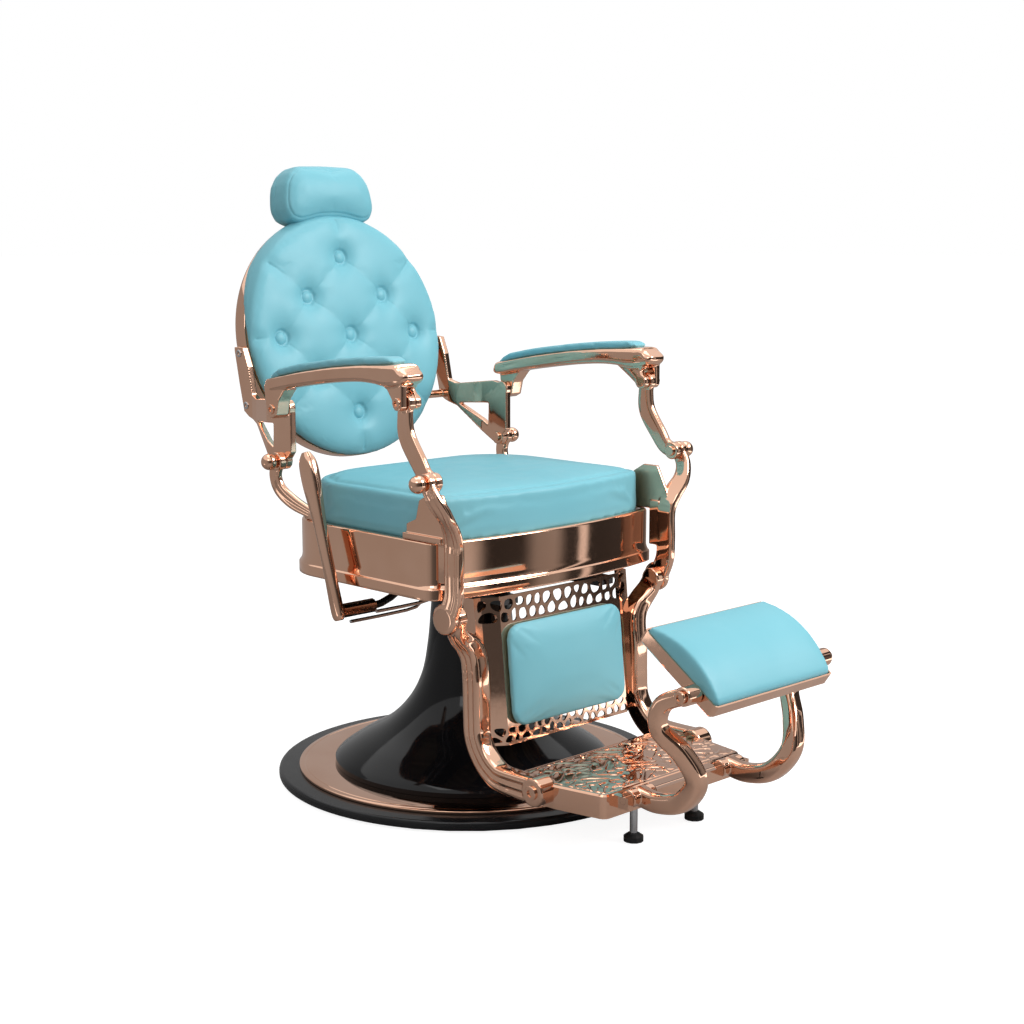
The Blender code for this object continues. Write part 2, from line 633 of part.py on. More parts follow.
def build_seat():
    board_top = SKIRT_TOP - SKIRT_WALL - FIT
    board_low = board_top - BOARD_THICKNESS
    low = HUB_TOP + FIT
    arm, front, rear, side = SUBFRAME_ARM, SUBFRAME_FRONT, SUBFRAME_REAR, SUBFRAME_SIDE
    outline = [(-arm, -front), (arm, -front), (arm, -arm), (side, -arm), (side, arm), (arm, arm),
               (arm, rear), (-arm, rear), (-arm, arm), (-side, arm), (-side, -arm), (-arm, -arm)]
    frame = make("seat_subframe", loft([[(x, y, z) for x, y in outline]
                                        for z in (low, low + SUBFRAME_PLATE)]),
                 BLACK_STEEL, seat_axis)
    half = SUBFRAME_PAD / 2
    inset = half + FIT * 3
    for x, y in ((side - inset, 0.0), (inset - side, 0.0), (0.0, rear - inset), (0.0, inset - front)):
        foot = block((x - half, y - half, low + FIT * 3), (x + half, y + half, board_low - FIT))
        combine(frame, foot, "UNION")

    make("seat_skirt", loft([
        skirt_ring(SKIRT_BOTTOM, -SKIRT_STEP), skirt_ring(SKIRT_STEP_TOP, -SKIRT_STEP),
        skirt_ring(SKIRT_STEP_TOP + SKIRT_STEP, 0.0), skirt_ring(SKIRT_TOP - SKIRT_WALL, 0.0),
        skirt_ring(SKIRT_TOP, SKIRT_WALL), skirt_ring(SKIRT_TOP, SKIRT_LIP),
        skirt_ring(SKIRT_TOP - SKIRT_WALL, SKIRT_LIP), skirt_ring(SKIRT_TOP - SKIRT_WALL, SKIRT_WALL),
        skirt_ring(SKIRT_STEP_TOP + SKIRT_STEP, SKIRT_WALL),
        skirt_ring(SKIRT_STEP_TOP, SKIRT_WALL - SKIRT_STEP),
        skirt_ring(SKIRT_BOTTOM, SKIRT_WALL - SKIRT_STEP)], closed=True), ROSE_GOLD, seat_axis)
    make("seat_board", loft([skirt_ring(z, SKIRT_WALL + FIT) for z in (board_low, board_top)]),
         PLYWOOD, seat_axis)

    low = SKIRT_TOP + FIT
    high = low + CUSHION_HEIGHT
    middle = low + CUSHION_HEIGHT / 2
    edge = CUSHION_EDGE
    rows = [(board_top + FIT, edge * 1.6), (low, edge), (low + edge * 0.4, edge * 0.2),
            (low + edge * 1.4, 0.0), (middle, CUSHION_DRAW), (high - edge * 1.4, 0.0),
            (high - edge * 0.5, edge * 0.2), (high, edge * 1.1)]
    rows += [(high + CUSHION_CROWN * rise, CUSHION_HALF * share) for rise, share in CUSHION_DOME]
    make("seat_cushion", loft([cushion_ring(z, inset) for z, inset in rows]), VINYL, seat_axis)


def pivot_pin(name, side, x_in, x_out, centre):
    """A pin along X with a flat head inside and a ball knob outside."""
    face = x_out + FIT
    ball = face + KNOB_RADIUS * KNOB_STAND
    lowest = math.asin(-KNOB_STAND)
    rows = 5
    profile = [(0.0, ball + KNOB_RADIUS)]
    for k in range(1, rows + 1):
        turn = math.pi / 2 + (lowest - math.pi / 2) * k / rows
        profile.append((KNOB_RADIUS * math.cos(turn), ball + KNOB_RADIUS * math.sin(turn)))
    head = x_in - FIT
    profile += [(PIN_RADIUS, face), (PIN_RADIUS, head), (PIN_HEAD, head),
                (PIN_HEAD, head - PIN_HEAD_HEIGHT), (0.0, head - PIN_HEAD_HEIGHT)]
    make(name, along_x(turned(profile, SMALL_ROUND), side, *centre), ROSE_GOLD, seat_axis)


def drill(piece, side, x0, x1, centre, radius):
    combine(piece, rod_x(side, x0, x1, centre, radius, HALF_STEP), "DIFFERENCE")


def build_posts(name, side):
    """The front and rear cast posts, their pins and the link between post and armrest."""
    link_y, link_z = PIVOT_LINK
    top_x = LUG_IN + EYE_WIDTH / 2
    body_x = POST_IN + POST_HALF_WIDTH
    thin = EYE_WIDTH / 2 - RUN
    rows = []
    for share, dy, dz in FRONT_POST_PATH:
        deep = POST_TOP_HALF_DEPTH + (POST_HALF_DEPTH - POST_TOP_HALF_DEPTH) * min(1.0, share * 2)
        wide = thin + (POST_HALF_WIDTH - thin) * share
        rows.append((top_x + (body_x - top_x) * share, link_y + dy, link_z + dz, wide, deep))
    rows.append((body_x, *PIVOT_LEG, POST_HALF_WIDTH, POST_HALF_DEPTH))
    post = make("front_post_" + name, casting(side, rows, 2), ROSE_GOLD, seat_axis)
    combine(post, rod_x(side, LUG_IN, LUG_OUT, PIVOT_LINK, EYE_RADIUS), "UNION")
    post_out = POST_IN + 2 * POST_HALF_WIDTH
    combine(post, rod_x(side, POST_IN, post_out, PIVOT_LEG, HEEL_RADIUS), "UNION")
    rest = SKIRT_TOP + FIT
    front = link_y + FRONT_POST_PATH[-1][1] - POST_HALF_DEPTH
    shoulder = [(SHOULDER_REAR, rest), (SHOULDER_REAR, rest + SHOULDER_RISE * 0.72),
                (SHOULDER_REAR - SHOULDER_RISE * 0.45, rest + SHOULDER_RISE * 0.92),
                (link_y, rest + SHOULDER_RISE), (link_y - POST_HALF_DEPTH, rest + SHOULDER_RISE * 0.75),
                (front + FIT, rest + SHOULDER_RISE * 0.3), (front + FIT, rest)]
    combine(post, prism_x(side, shoulder, SHOULDER_IN, post_out - RUN), "UNION")
    web = [(link_y, WEB_BOTTOM), (WEB_REAR, WEB_BOTTOM), (WEB_REAR, rest + EYE_RADIUS),
           (link_y, rest + EYE_RADIUS)]
    combine(post, prism_x(side, web, POST_IN + RUN, post_out - 2 * RUN), "UNION")
    drill(post, side, LINK_IN, LUG_OUT + EYE_WIDTH, PIVOT_LINK, PIN_RADIUS + RUN)
    drill(post, side, POST_IN - EYE_WIDTH / 4, LUG_OUT, PIVOT_LEG, PIN_RADIUS + RUN)
    pivot_pin("link_pin_" + name, side, LINK_IN, LUG_OUT, PIVOT_LINK)

    back_y, back_z = PIVOT_BACK
    mid_x = LAYER_TWO + EYE_WIDTH / 2
    deep = REAR_POST_HALF_DEPTH
    in_x, in_y = REAR_FOOT_INSET
    foot_x = SKIRT_HALF - in_x
    foot_y = SKIRT_REAR - in_y
    rows = [(mid_x + (foot_x - mid_x) * share, back_y + dy, back_z + dz, thin, deep)
            for share, dy, dz in REAR_POST_PATH]
    rows.append((foot_x, foot_y, rest + SHOE_HEIGHT, thin - RUN * 2, deep - SHOE_HEIGHT * 0.4))
    rear = make("rear_post_" + name, casting(side, rows, 2), ROSE_GOLD, seat_axis)
    combine(rear, rod_x(side, LAYER_TWO, LAYER_END, PIVOT_BACK, EYE_RADIUS), "UNION")
    wide, long = SHOE_HALF
    tread = rest + SHOE_HEIGHT
    shoe = [(foot_y - long, rest), (foot_y + long, rest), (foot_y + long, tread), (foot_y - long, tread)]
    combine(rear, prism_x(side, shoe, foot_x - wide, foot_x + wide), "UNION")
    drill(rear, side, BRACKET_IN, LAYER_END + EYE_WIDTH, PIVOT_BACK, PIN_RADIUS + RUN)
    pivot_pin("back_pin_" + name, side, BRACKET_IN, LAYER_END, PIVOT_BACK)

    arm_y, arm_z = PIVOT_ARM_FRONT
    mid_x = LINK_IN + EYE_WIDTH / 2
    rows = [(mid_x, arm_y + dy, arm_z + dz, thin, LINK_HALF_DEPTH) for dy, dz in LINK_PATH]
    rows.append((mid_x, link_y, link_z, thin, LINK_HALF_DEPTH))
    link = make("arm_link_" + name, casting(side, rows, 2), ROSE_GOLD, link_axis)
    for centre in (PIVOT_ARM_FRONT, PIVOT_LINK):
        combine(link, rod_x(side, LINK_IN, LINK_IN + EYE_WIDTH, centre, EYE_RADIUS - LAYER_GAP), "UNION")
    combine(link, rod_x(side, LINK_IN + RUN, LUG_OUT - FIT, PIVOT_ARM_FRONT, PIN_RADIUS, HALF_STEP), "UNION")
    drill(link, side, LINK_IN - EYE_WIDTH, LUG_IN, PIVOT_LINK, PIN_RADIUS + RUN)


def arm_share(y):
    return (y - ARM_FRONT) / (ARM_REAR - ARM_FRONT)


def arm_top(y):
    """Height of the armrest casting's top, which falls away towards the rear."""
    return ARM_FRONT_TOP + (ARM_REAR_TOP - ARM_FRONT_TOP) * max(0.0, arm_share(y)) ** ARM_FALL


def arm_bottom(y):
    block = max(0.0, 1.0 - (y - ARM_FRONT) / ARM_BLOCK_LENGTH)
    return arm_top(y) - ARM_BEAM - ARM_BLOCK * block ** ARM_FALL


def build_armrest(name, side):
    stations = [ARM_FRONT + (ARM_REAR - ARM_FRONT) * k / 12 for k in range(13)]
    nose = ARM_NOSE
    outline = [(ARM_FRONT, arm_top(ARM_FRONT) - nose), (ARM_FRONT + nose, arm_top(ARM_FRONT))]
    outline += [(y, arm_top(y)) for y in stations[1:]]
    outline += [(y, arm_bottom(y)) for y in stations[:0:-1]]
    outline += [(ARM_FRONT + nose, arm_bottom(ARM_FRONT)), (ARM_FRONT, arm_bottom(ARM_FRONT) + nose)]
    beam = prism_x(side, outline, ARM_IN, ARM_IN + ARM_WIDTH)
    for vert in beam.verts:
        vert.co.x -= side * ARM_TOE * arm_share(vert.co.y)
    arm = make("arm_frame_" + name, beam, ROSE_GOLD, arm_axis)
    y, z = PIVOT_ARM_REAR
    hook = [(y + dy, z + dz) for dy, dz in HOOK_OUTLINE]
    combine(arm, prism_x(side, hook, LAYER_TWO, HOOK_OUT), "UNION")
    y, z = PIVOT_ARM_FRONT
    lug = [(y + dy, z + dz) for dy, dz in LUG_OUTLINE]
    combine(arm, prism_x(side, lug, LUG_IN, LUG_OUT), "UNION")
    drill(arm, side, LAYER_TWO - EYE_WIDTH / 4, HOOK_OUT + EYE_WIDTH, PIVOT_ARM_REAR, PIN_RADIUS + RUN)
    drill(arm, side, LUG_IN - EYE_WIDTH / 4, LUG_OUT + EYE_WIDTH, PIVOT_ARM_FRONT, PIN_RADIUS + OPEN_PIVOT)
    half = ARM_WIDTH / 2 - ARM_PAD_INSET
    rise = ARM_PAD_HEIGHT / 2
    front = ARM_FRONT + ARM_PAD_AHEAD
    rear = ARM_REAR - ARM_PAD_BEHIND
    controls = []
    for share, width, height in ((0.0, 0.6, 0.45), (0.03, 0.85, 0.8), (0.1, 1.0, 1.0), (0.3, 1.0, 1.0),
                                 (0.5, 1.0, 1.0), (0.7, 1.0, 1.0), (0.9, 1.0, 1.0), (0.97, 0.85, 0.8),
                                 (1.0, 0.6, 0.45)):
        y = front + (rear - front) * share
        z = arm_top(y) + rise * height + 2 * FIT
        middle = ARM_IN + ARM_WIDTH / 2 - ARM_TOE * arm_share(y)
        controls.append((middle, y, z, half * width, rise * height))
    make("arm_pad_" + name, casting(side, controls, 2, power=4.0, sides=12), VINYL, arm_axis)


back_frame = Matrix.Translation((0.0, BACK_Y, BACK_Z)) @ Matrix.Rotation(math.radians(-BACK_TILT), 4, "X")
back_turn = back_frame @ Matrix.Rotation(math.radians(-90.0), 4, "X")


def on_back(bm, frame=back_frame):
    bmesh.ops.transform(bm, matrix=frame, verts=bm.verts)
    return bm


def button_places():
    across, middle, up = BUTTON_ACROSS, BUTTON_ACROSS_MID, BUTTON_UP
    return [(0.0, 2 * up), (-across, up), (across, up), (-middle, 0.0), (0.0, 0.0), (middle, 0.0),
            (-across, -up), (across, -up), (0.0, -2 * up)]


def fold_lines():
    """Pairs of points that the folds of the cover run between."""
    spots = button_places()
    pairs = [(0, 1), (0, 2), (1, 3), (1, 4), (2, 4), (2, 5), (3, 6), (4, 6), (4, 7), (5, 7), (6, 8), (7, 8)]
    lines = [(Vector(spots[a]), Vector(spots[b])) for a, b in pairs]
    for k in (0, 3, 5, 8, 1, 2, 6, 7):
        spot = Vector(spots[k])
        lines.append((spot, spot.normalized() * BACK_CUSHION_RADIUS))
    return lines


def tuft(x, w, spots, lines):
    """How far the cover is drawn in at a point of the back's front."""
    here = Vector((x, w))
    drop = 0.0
    for spot in spots:
        drop = max(drop, TUFT_DEPTH * math.exp(-((here - Vector(spot)).length / TUFT_SIZE) ** 2))
    for a, b in lines:
        along = b - a
        share = min(1.0, max(0.0, (here - a).dot(along) / along.length_squared))
        gap = (here - a - along * share).length
        drop = max(drop, FOLD_DEPTH * math.exp(-(gap / FOLD_SIZE) ** 2))
    return drop


def build_back():
    edge, rear, front, wall = SHELL_EDGE, SHELL_REAR, SHELL_FRONT, SHELL_WALL
    radius = SHELL_RADIUS
    make("back_shell", on_back(turned([
        (0.0, rear), (radius - edge, rear), (radius - edge * 0.3, rear - edge * 0.3),
        (radius, rear - edge), (radius, front), (radius - wall, front), (radius - wall, rear - edge),
        (radius - edge, rear - wall), (0.0, rear - wall)]), back_turn), ROSE_GOLD, back_axis)
    inner = radius - wall - FIT
    make("back_board", on_back(turned([
        (0.0, front + BACK_BOARD_THICKNESS), (inner, front + BACK_BOARD_THICKNESS), (inner, front),
        (0.0, front)]), back_turn), PLYWOOD, back_axis)

    spots = button_places()
    lines = fold_lines()
    rest = SHELL_FRONT - FIT
    full = BACK_CUSHION_RADIUS
    flat = full - BACK_EDGE_RADIUS
    shoulder = -BACK_CROWN * 0.62
    rows = [(full - inset, rest - rise) for inset, rise in BACK_EDGE_ROWS]
    rows += [(full - inset, shoulder * share) for inset, share in BACK_SHOULDER_ROWS]
    steps = 11
    rows += [(flat * (1.0 - k / steps), None) for k in range(steps)]
    sectors = 48
    rings = []
    for r, depth in rows:
        ring = []
        for k in range(sectors):
            turn = math.tau * k / sectors
            x, w = r * math.cos(turn), r * math.sin(turn)
            n = depth
            if depth is None:
                n = -BACK_CROWN + (BACK_CROWN + shoulder) * (r / full) ** 2 + tuft(x, w, spots, lines)
            ring.append((x, n, w))
        rings.append(ring)
    make("back_cushion", on_back(loft(rings)), VINYL, back_axis)


def bracket_shift(y):
    """The bracket steps inward from the pivots' layer to the side of the shell."""
    start, end = BRACKET_STEP_Y
    share = min(1.0, max(0.0, (y - start) / (end - start)))
    return (BRACKET_PLATE_IN - BRACKET_IN) * share


def build_bracket(name, side):
    rings = []
    for y, low, high in BRACKET_SLICES:
        inner = side * (BRACKET_IN + bracket_shift(y))
        outer = inner + side * (EYE_WIDTH - 2 * RUN)
        rings.append([(inner, y, low), (outer, y, low), (outer, y, high), (inner, y, high)])
    piece = make("back_bracket_" + name, loft(rings), ROSE_GOLD, back_axis)
    for centre in (PIVOT_BACK, PIVOT_ARM_REAR):
        combine(piece, rod_x(side, BRACKET_IN + RUN / 2, BRACKET_IN + EYE_WIDTH, centre, EYE_RADIUS),
                "UNION")
    combine(piece, prism_x(side, BRACKET_WINDOW, BRACKET_PLATE_IN - EYE_WIDTH, LAYER_END), "DIFFERENCE")
    drill(piece, side, BRACKET_IN - EYE_WIDTH, LAYER_END, PIVOT_BACK, PIN_RADIUS + RUN)
    pin = rod_x(side, BRACKET_IN + RUN, HOOK_OUT - FIT, PIVOT_ARM_REAR, PIN_RADIUS, HALF_STEP)
    combine(piece, pin, "UNION")
    for drop in BOSS_DROPS:
        spot = back_frame @ Vector((0.0, SHELL_FRONT + BOSS_BEHIND, -drop))
        reach = math.sqrt(SHELL_RADIUS ** 2 - (drop - BOSS_RADIUS) ** 2) + FIT
        end_x = BRACKET_PLATE_IN + EYE_WIDTH / 2
        combine(piece, rod_x(side, reach, end_x, (spot.y, spot.z), BOSS_RADIUS, HALF_STEP), "UNION")


def build_headrest():
    rest = SHELL_REAR + FIT
    half = SOCKET_WIDTH / 2
    socket = make("headrest_socket", on_back(block(
        (-half, rest, SOCKET_LOW), (half, rest + SOCKET_DEPTH, SOCKET_HIGH))), BLACK_STEEL, back_axis)
    bar_in = SHELL_REAR + BAR_STANDOFF
    bar_out = bar_in + BAR_THICKNESS
    half = BAR_WIDTH / 2
    slot = block((-half - RUN, bar_in - RUN, SOCKET_LOW - RUN * 10),
                 (half + RUN, bar_out + RUN, SOCKET_HIGH + RUN * 10))
    combine(socket, on_back(slot), "DIFFERENCE")
    foot = rest + SOCKET_DEPTH + FIT
    knob = turned([(0.0, foot + CLAMP_KNOB_LENGTH), (CLAMP_KNOB_RADIUS * 0.8, foot + CLAMP_KNOB_LENGTH),
                   (CLAMP_KNOB_RADIUS, foot + CLAMP_KNOB_LENGTH * 0.7),
                   (CLAMP_KNOB_RADIUS, foot + CLAMP_KNOB_LENGTH * 0.4),
                   (CLAMP_KNOB_RADIUS * 0.5, foot + CLAMP_KNOB_LENGTH * 0.3),
                   (CLAMP_KNOB_RADIUS * 0.5, foot), (0.0, foot)], SMALL_ROUND)
    raise_knob = Matrix.Translation((0.0, 0.0, (SOCKET_LOW + SOCKET_HIGH) / 2))
    make("headrest_clamp_knob", on_back(knob, back_frame @ raise_knob
                                        @ Matrix.Rotation(math.radians(-90.0), 4, "X")),
         RUBBER, back_axis)
    make("headrest_bar", on_back(block((-half, bar_in, BAR_LOW), (half, bar_out, BAR_HIGH))),
         BRIGHT_STEEL, back_axis)
    plate_out = bar_in - FIT
    plate_in = plate_out - PLATE_THICKNESS
    wide, tall = PLATE_HALF
    make("headrest_plate", on_back(block((-wide, plate_in, PILLOW_CENTRE - tall),
                                         (wide, plate_out, PILLOW_CENTRE + tall))),
         BLACK_STEEL, back_axis)

    rear = plate_in - FIT
    deep = rear - PILLOW_FRONT
    rings = []
    for share, inset in PILLOW_ROWS:
        n = rear - deep * share
        wide = PILLOW_HALF_WIDTH - inset
        tall = PILLOW_HALF_HEIGHT - inset
        corner = max(PILLOW_CORNER - inset, 0.006)
        ring = []
        for x, w in rounded([(-wide, -tall), (wide, -tall), (wide, tall), (-wide, tall)], corner, 4, 3):
            low = max(0.0, -w / tall)
            lift = PILLOW_SAG * low * (1.0 - (x / PILLOW_HALF_WIDTH) ** 2)
            ring.append((x, n, PILLOW_CENTRE + w + lift))
        rings.append(ring)
    make("headrest_cushion", on_back(loft(rings)), VINYL, back_axis)


def build_lever():
    y, z = LEVER_PIVOT
    lean = Vector(LEVER_TOP) - Vector(LEVER_PIVOT)
    x = -LEVER_X
    controls = [(x, y + lean.x * t, z + lean.y * t, LEVER_HALF_WIDTH * w, LEVER_HALF_DEPTH * d)
                for t, w, d in LEVER_ROWS]
    make("pump_lever", casting(-1, controls, 3, power=2.6), ROSE_GOLD, lever_axis)
    outer = x - LEVER_HALF_WIDTH - FIT
    inner = outer - SLEEVE_LENGTH
    sleeve = make("lever_sleeve", rod_x(-1, inner, outer, LEVER_PIVOT, SLEEVE_RADIUS),
                  ROSE_GOLD, lever_axis)
    drill(sleeve, -1, inner - CUT_MARGIN, outer + CUT_MARGIN, LEVER_PIVOT, SHAFT_RADIUS + RUN)
    top = HUB_TOP - 2 * FIT
    rise = -SHAFT_RISE_X
    across = (0.0, 1.0, 0.0)
    r = SHAFT_RADIUS
    reach, climb = SHAFT_BEND
    make("lever_shaft", casting(-1, [
        (outer - SHAFT_END, y, z, r, r), (inner + reach / 2, y, z, r, r),
        (inner - reach, y, z + RUN * 2, r, r),
        (rise + reach, y, z + climb * 0.38, r, r), (rise, y, z + climb, r, r), (rise, y, top, r, r)],
        2, across, 2.0, 8), BLACK_STEEL, seat_axis)
    r = ROD_RADIUS
    reach, climb = ROD_BEND
    for name, (start, low, offset, bend) in LINKAGE_RODS.items():
        make("lever_rod_" + name, casting(-1, [
            (inner + start, y + offset - SHAFT_END, z + low, r, r), (bend + reach, y + offset, z + low, r, r),
            (bend + reach / 4, y + offset, z + low + climb / 4, r, r),
            (bend, y + offset, z + low + climb, r, r),
            (bend, y + offset, top, r, r)], 2, across, 2.0, 6), BRIGHT_STEEL, seat_axis)


def panel_y(z):
    """The calf panel's front face leans forward towards its foot."""
    share = (PANEL_TOP[1] - z) / (PANEL_TOP[1] - PANEL_LOW[1])
    return PANEL_TOP[0] + (PANEL_LOW[0] - PANEL_TOP[0]) * share


def build_leg(name, side):
    top_y, top_z = PIVOT_LEG
    eye_out = POST_IN - LAYER_GAP
    eye_in = eye_out - LEG_HEAD
    wide, deep = LEG_HALF_WIDTH, LEG_HALF_DEPTH
    rows = [((eye_in + eye_out) / 2, top_y, top_z, EYE_WIDTH / 2, LEG_TOP_HALF_DEPTH)]
    for k, (dx, dy, dz) in enumerate(LEG_HEAD_PATH):
        share = (k + 1) / len(LEG_HEAD_PATH)
        rows.append((LEG_X + dx, top_y + dy, top_z + dz, wide - RUN,
                     LEG_TOP_HALF_DEPTH + (deep - LEG_TOP_HALF_DEPTH) * share))
    rows += [(LEG_X, y, z, wide, deep) for y, z in LEG_PATH + (LEG_FOOT,)]
    leg = make("leg_frame_" + name, casting(side, rows, 2), ROSE_GOLD, leg_axis)
    combine(leg, rod_x(side, eye_in, eye_out, PIVOT_LEG, LEG_HEAD_RADIUS), "UNION")
    combine(leg, rod_x(side, LEG_X - wide + RUN, LEG_X + wide - RUN, LEG_FOOT, LEG_EYE_RADIUS), "UNION")
    heel_out = POST_IN + 2 * POST_HALF_WIDTH
    combine(leg, rod_x(side, eye_in + RUN, heel_out - FIT, PIVOT_LEG, PIN_RADIUS, HALF_STEP), "UNION")

    bar_x = side * BRACKET_BAR_X
    half = BRACKET_BAR_HALF
    high = PANEL_TOP[1] - PANEL_WALL
    low = high - BRACKET_BAR_HEIGHT
    front = panel_y(high) + PANEL_WALL + FIT
    make("legrest_bar_" + name, block((bar_x - half, front, low), (bar_x + half, BRACKET_BAR_REAR, high)),
         BLACK_STEEL, leg_axis)

    x = side * LEVELLER_X
    low = FLOOR_GAP + RUBBER_HEIGHT
    high = PLATE_TOP - PLATE_WALL - LEVELLER_TRAVEL - FIT * 2
    place = Matrix.Translation((x, LEVELLER_Y, 0.0))
    foot = low + FIT
    rod = turned([(0.0, high), (LEVELLER_ROD, high), (LEVELLER_ROD, foot), (0.0, foot)], SMALL_ROUND)
    make("leveller_rod_" + name, on_back(rod, place), BRIGHT_STEEL, leg_axis)
    pad = turned([(0.0, low), (RUBBER_RADIUS * 0.6, low), (RUBBER_RADIUS, low - RUBBER_HEIGHT * 0.35),
                   (RUBBER_RADIUS, FLOOR_GAP), (0.0, FLOOR_GAP)], SMALL_ROUND)
    make("leveller_pad_" + name, on_back(pad, place), RUBBER, leg_axis)


def build_leg_panel():
    half = LEG_X - LEG_HALF_WIDTH - FIT
    wall, deep = PANEL_WALL, PANEL_FLANGE
    flat = PANEL_FLAT
    fold, back = PANEL_FOLD
    right = [(flat, 0.0), (fold, back), (half, back), (half, deep + back), (half - wall, deep + back),
             (half - wall, back + wall), (fold - wall, back + wall), (flat - wall, wall)]
    outline = right + [(-x, y) for x, y in right[::-1]]
    rings = [[(x, y + shift, z) for x, shift in outline] for y, z in (PANEL_LOW, PANEL_TOP)]
    make("calf_panel", loft(rings), ROSE_GOLD, leg_axis)

    wide = PAD_HALF_WIDTH
    tall = (PAD_TOP - PAD_LOW) / 2
    centre = (PAD_TOP + PAD_LOW) / 2
    rings = []
    for height, crown, inset in PAD_ROWS:
        out = FIT + (PAD_HEIGHT - FIT) * height + PAD_CROWN * crown
        a, b = wide - inset, tall - inset
        corner = max(PAD_CORNER - inset, 0.004)
        flat = rounded([(-a, -b), (a, -b), (a, b), (-a, b)], corner)
        rings.append([(x, panel_y(centre + w) - out, centre + w) for x, w in flat])
    make("calf_pad", loft(rings), VINYL, leg_axis)


def plate_ring(z, inset):
    half = LEG_X - LEG_HALF_WIDTH - FIT - inset
    front_half = PLATE_HALF_FRONT - inset
    rear = PLATE_REAR - inset
    front = PLATE_FRONT + inset
    outline = rounded([(-half, rear), (-half, PLATE_TAPER_Y), (-front_half, front), (front_half, front),
                       (half, PLATE_TAPER_Y), (half, rear)], PLATE_CORNER - inset, 3)
    return [(x, y, z) for x, y in outline]


def build_footplate():
    under = PLATE_TOP - PLATE_WALL
    plate = make("footplate", loft([
        plate_ring(under, PLATE_WALL), plate_ring(PLATE_BOTTOM, PLATE_WALL), plate_ring(PLATE_BOTTOM, 0.0),
        plate_ring(PLATE_TOP - PLATE_BEVEL, 0.0), plate_ring(PLATE_TOP, PLATE_BEVEL)]), ROSE_GOLD, leg_axis)
    fork_y, fork_z = FORK_PIVOT
    lug = FORK_SLEEVE_RADIUS - 2 * RUN
    inside = FORK_X - FORK_SLEEVE - LAYER_GAP
    outside = FORK_X + FORK_SLEEVE + LAYER_GAP
    for x0, x1 in ((-inside, inside), (outside, outside + PLATE_LUG), (-outside - PLATE_LUG, -outside)):
        combine(plate, block((x0, fork_y - lug * 0.8, fork_z - lug),
                             (x1, PLATE_FRONT + PLATE_WALL / 2, PLATE_TOP - FIT * 4)), "UNION")
    for side in (-1, 1):
        spot = (side * LEVELLER_X, LEVELLER_Y, 0.0)
        high = under + FIT * 4
        low = PLATE_BOTTOM + PLATE_WALL
        wide = LEVELLER_ROD * 2
        boss = turned([(0.0, high), (wide, high), (wide, low), (0.0, low)], SMALL_ROUND)
        combine(plate, on_back(boss, Matrix.Translation(spot)), "UNION")
    for side in (-1, 1):
        spot = (side * LEVELLER_X, LEVELLER_Y, 0.0)
        bore = LEVELLER_ROD + RUN
        below = PLATE_BOTTOM - CUT_MARGIN
        hole = turned([(0.0, under), (bore, under), (bore, below), (0.0, below)], SMALL_ROUND, HALF_STEP)
        combine(plate, on_back(hole, Matrix.Translation(spot)), "DIFFERENCE")
    reach = outside + PLATE_LUG
    drill(plate, 1, -reach - CUT_MARGIN, reach + CUT_MARGIN, FORK_PIVOT, FORK_ROD + FIT)
    make("fork_rod", rod_x(1, -reach, reach, FORK_PIVOT, FORK_ROD), BRIGHT_STEEL, leg_axis)


def build_fork(name, side):
    y, z = FORK_PIVOT
    pan_y, pan_z = PAN_PIVOT
    r = FORK_RADIUS
    boss_in = PAN_HALF_WIDTH + PAN_BOSS_GAP
    top_x = boss_in + r + PAN_BOSS_GAP
    rows = [(FORK_X + dx, y + dy, z + dz, r, r) for dx, dy, dz in FORK_PATH]
    rows += [(top_x + dx, pan_y + dy, pan_z + dz, r, r) for dx, dy, dz in FORK_TOP_PATH]
    arm = make("fork_arm_" + name, casting(side, rows, 3, power=4.0), ROSE_GOLD, fork_axis)
    combine(arm, rod_x(side, FORK_X - FORK_SLEEVE, FORK_X + FORK_SLEEVE, FORK_PIVOT, FORK_SLEEVE_RADIUS),
            "UNION")
    combine(arm, rod_x(side, boss_in, PAN_BOSS_OUT, PAN_PIVOT, PAN_BOSS), "UNION")
    reach = FORK_SLEEVE + CUT_MARGIN
    drill(arm, side, FORK_X - reach, FORK_X + reach, FORK_PIVOT, FORK_ROD + RUN)
    drill(arm, side, PAN_HALF_WIDTH - CUT_MARGIN, PAN_BOSS_OUT + CUT_MARGIN, PAN_PIVOT, PIN_RADIUS + RUN)


pan_slope = math.radians(PAN_TILT)
pan_down = Vector((0.0, -math.cos(pan_slope), -math.sin(pan_slope)))
pan_up = Vector((0.0, -math.sin(pan_slope), math.cos(pan_slope)))
pan_corner = Vector((0.0, *PAN_PIVOT)) - pan_down * PAN_PIVOT_ALONG + pan_up * PAN_PIVOT_BELOW


def pan_ring(height, inset):
    a = PAN_HALF_WIDTH - inset
    outline = rounded([(-a, inset), (a, inset), (a, PAN_LENGTH - inset), (-a, PAN_LENGTH - inset)],
                      max(PAN_CORNER - inset, PAN_CORNER / 3), 2)
    return [pan_corner + Vector((x, 0.0, 0.0)) + pan_down * u + pan_up * height for x, u in outline]


def foot_pad_ring(x, draw, rise):
    """A slice of the foot pad, barrel-topped along the pan's length."""
    start = PAN_WALL + 2 * FIT + draw
    end = PAN_LENGTH - start
    low = PAN_WALL - PAN_DEPTH + FIT
    steps = 12
    outline = [(end, low), (start, low)]
    for k in range(steps + 1):
        share = k / steps
        arch = 1.0 - (2.0 * share - 1.0) ** 2
        outline.append((start + (end - start) * share, rise * (FOOT_PAD_HEIGHT + FOOT_PAD_CROWN * arch)))
    return [pan_corner + Vector((x, 0.0, 0.0)) + pan_down * u + pan_up * h for u, h in outline]


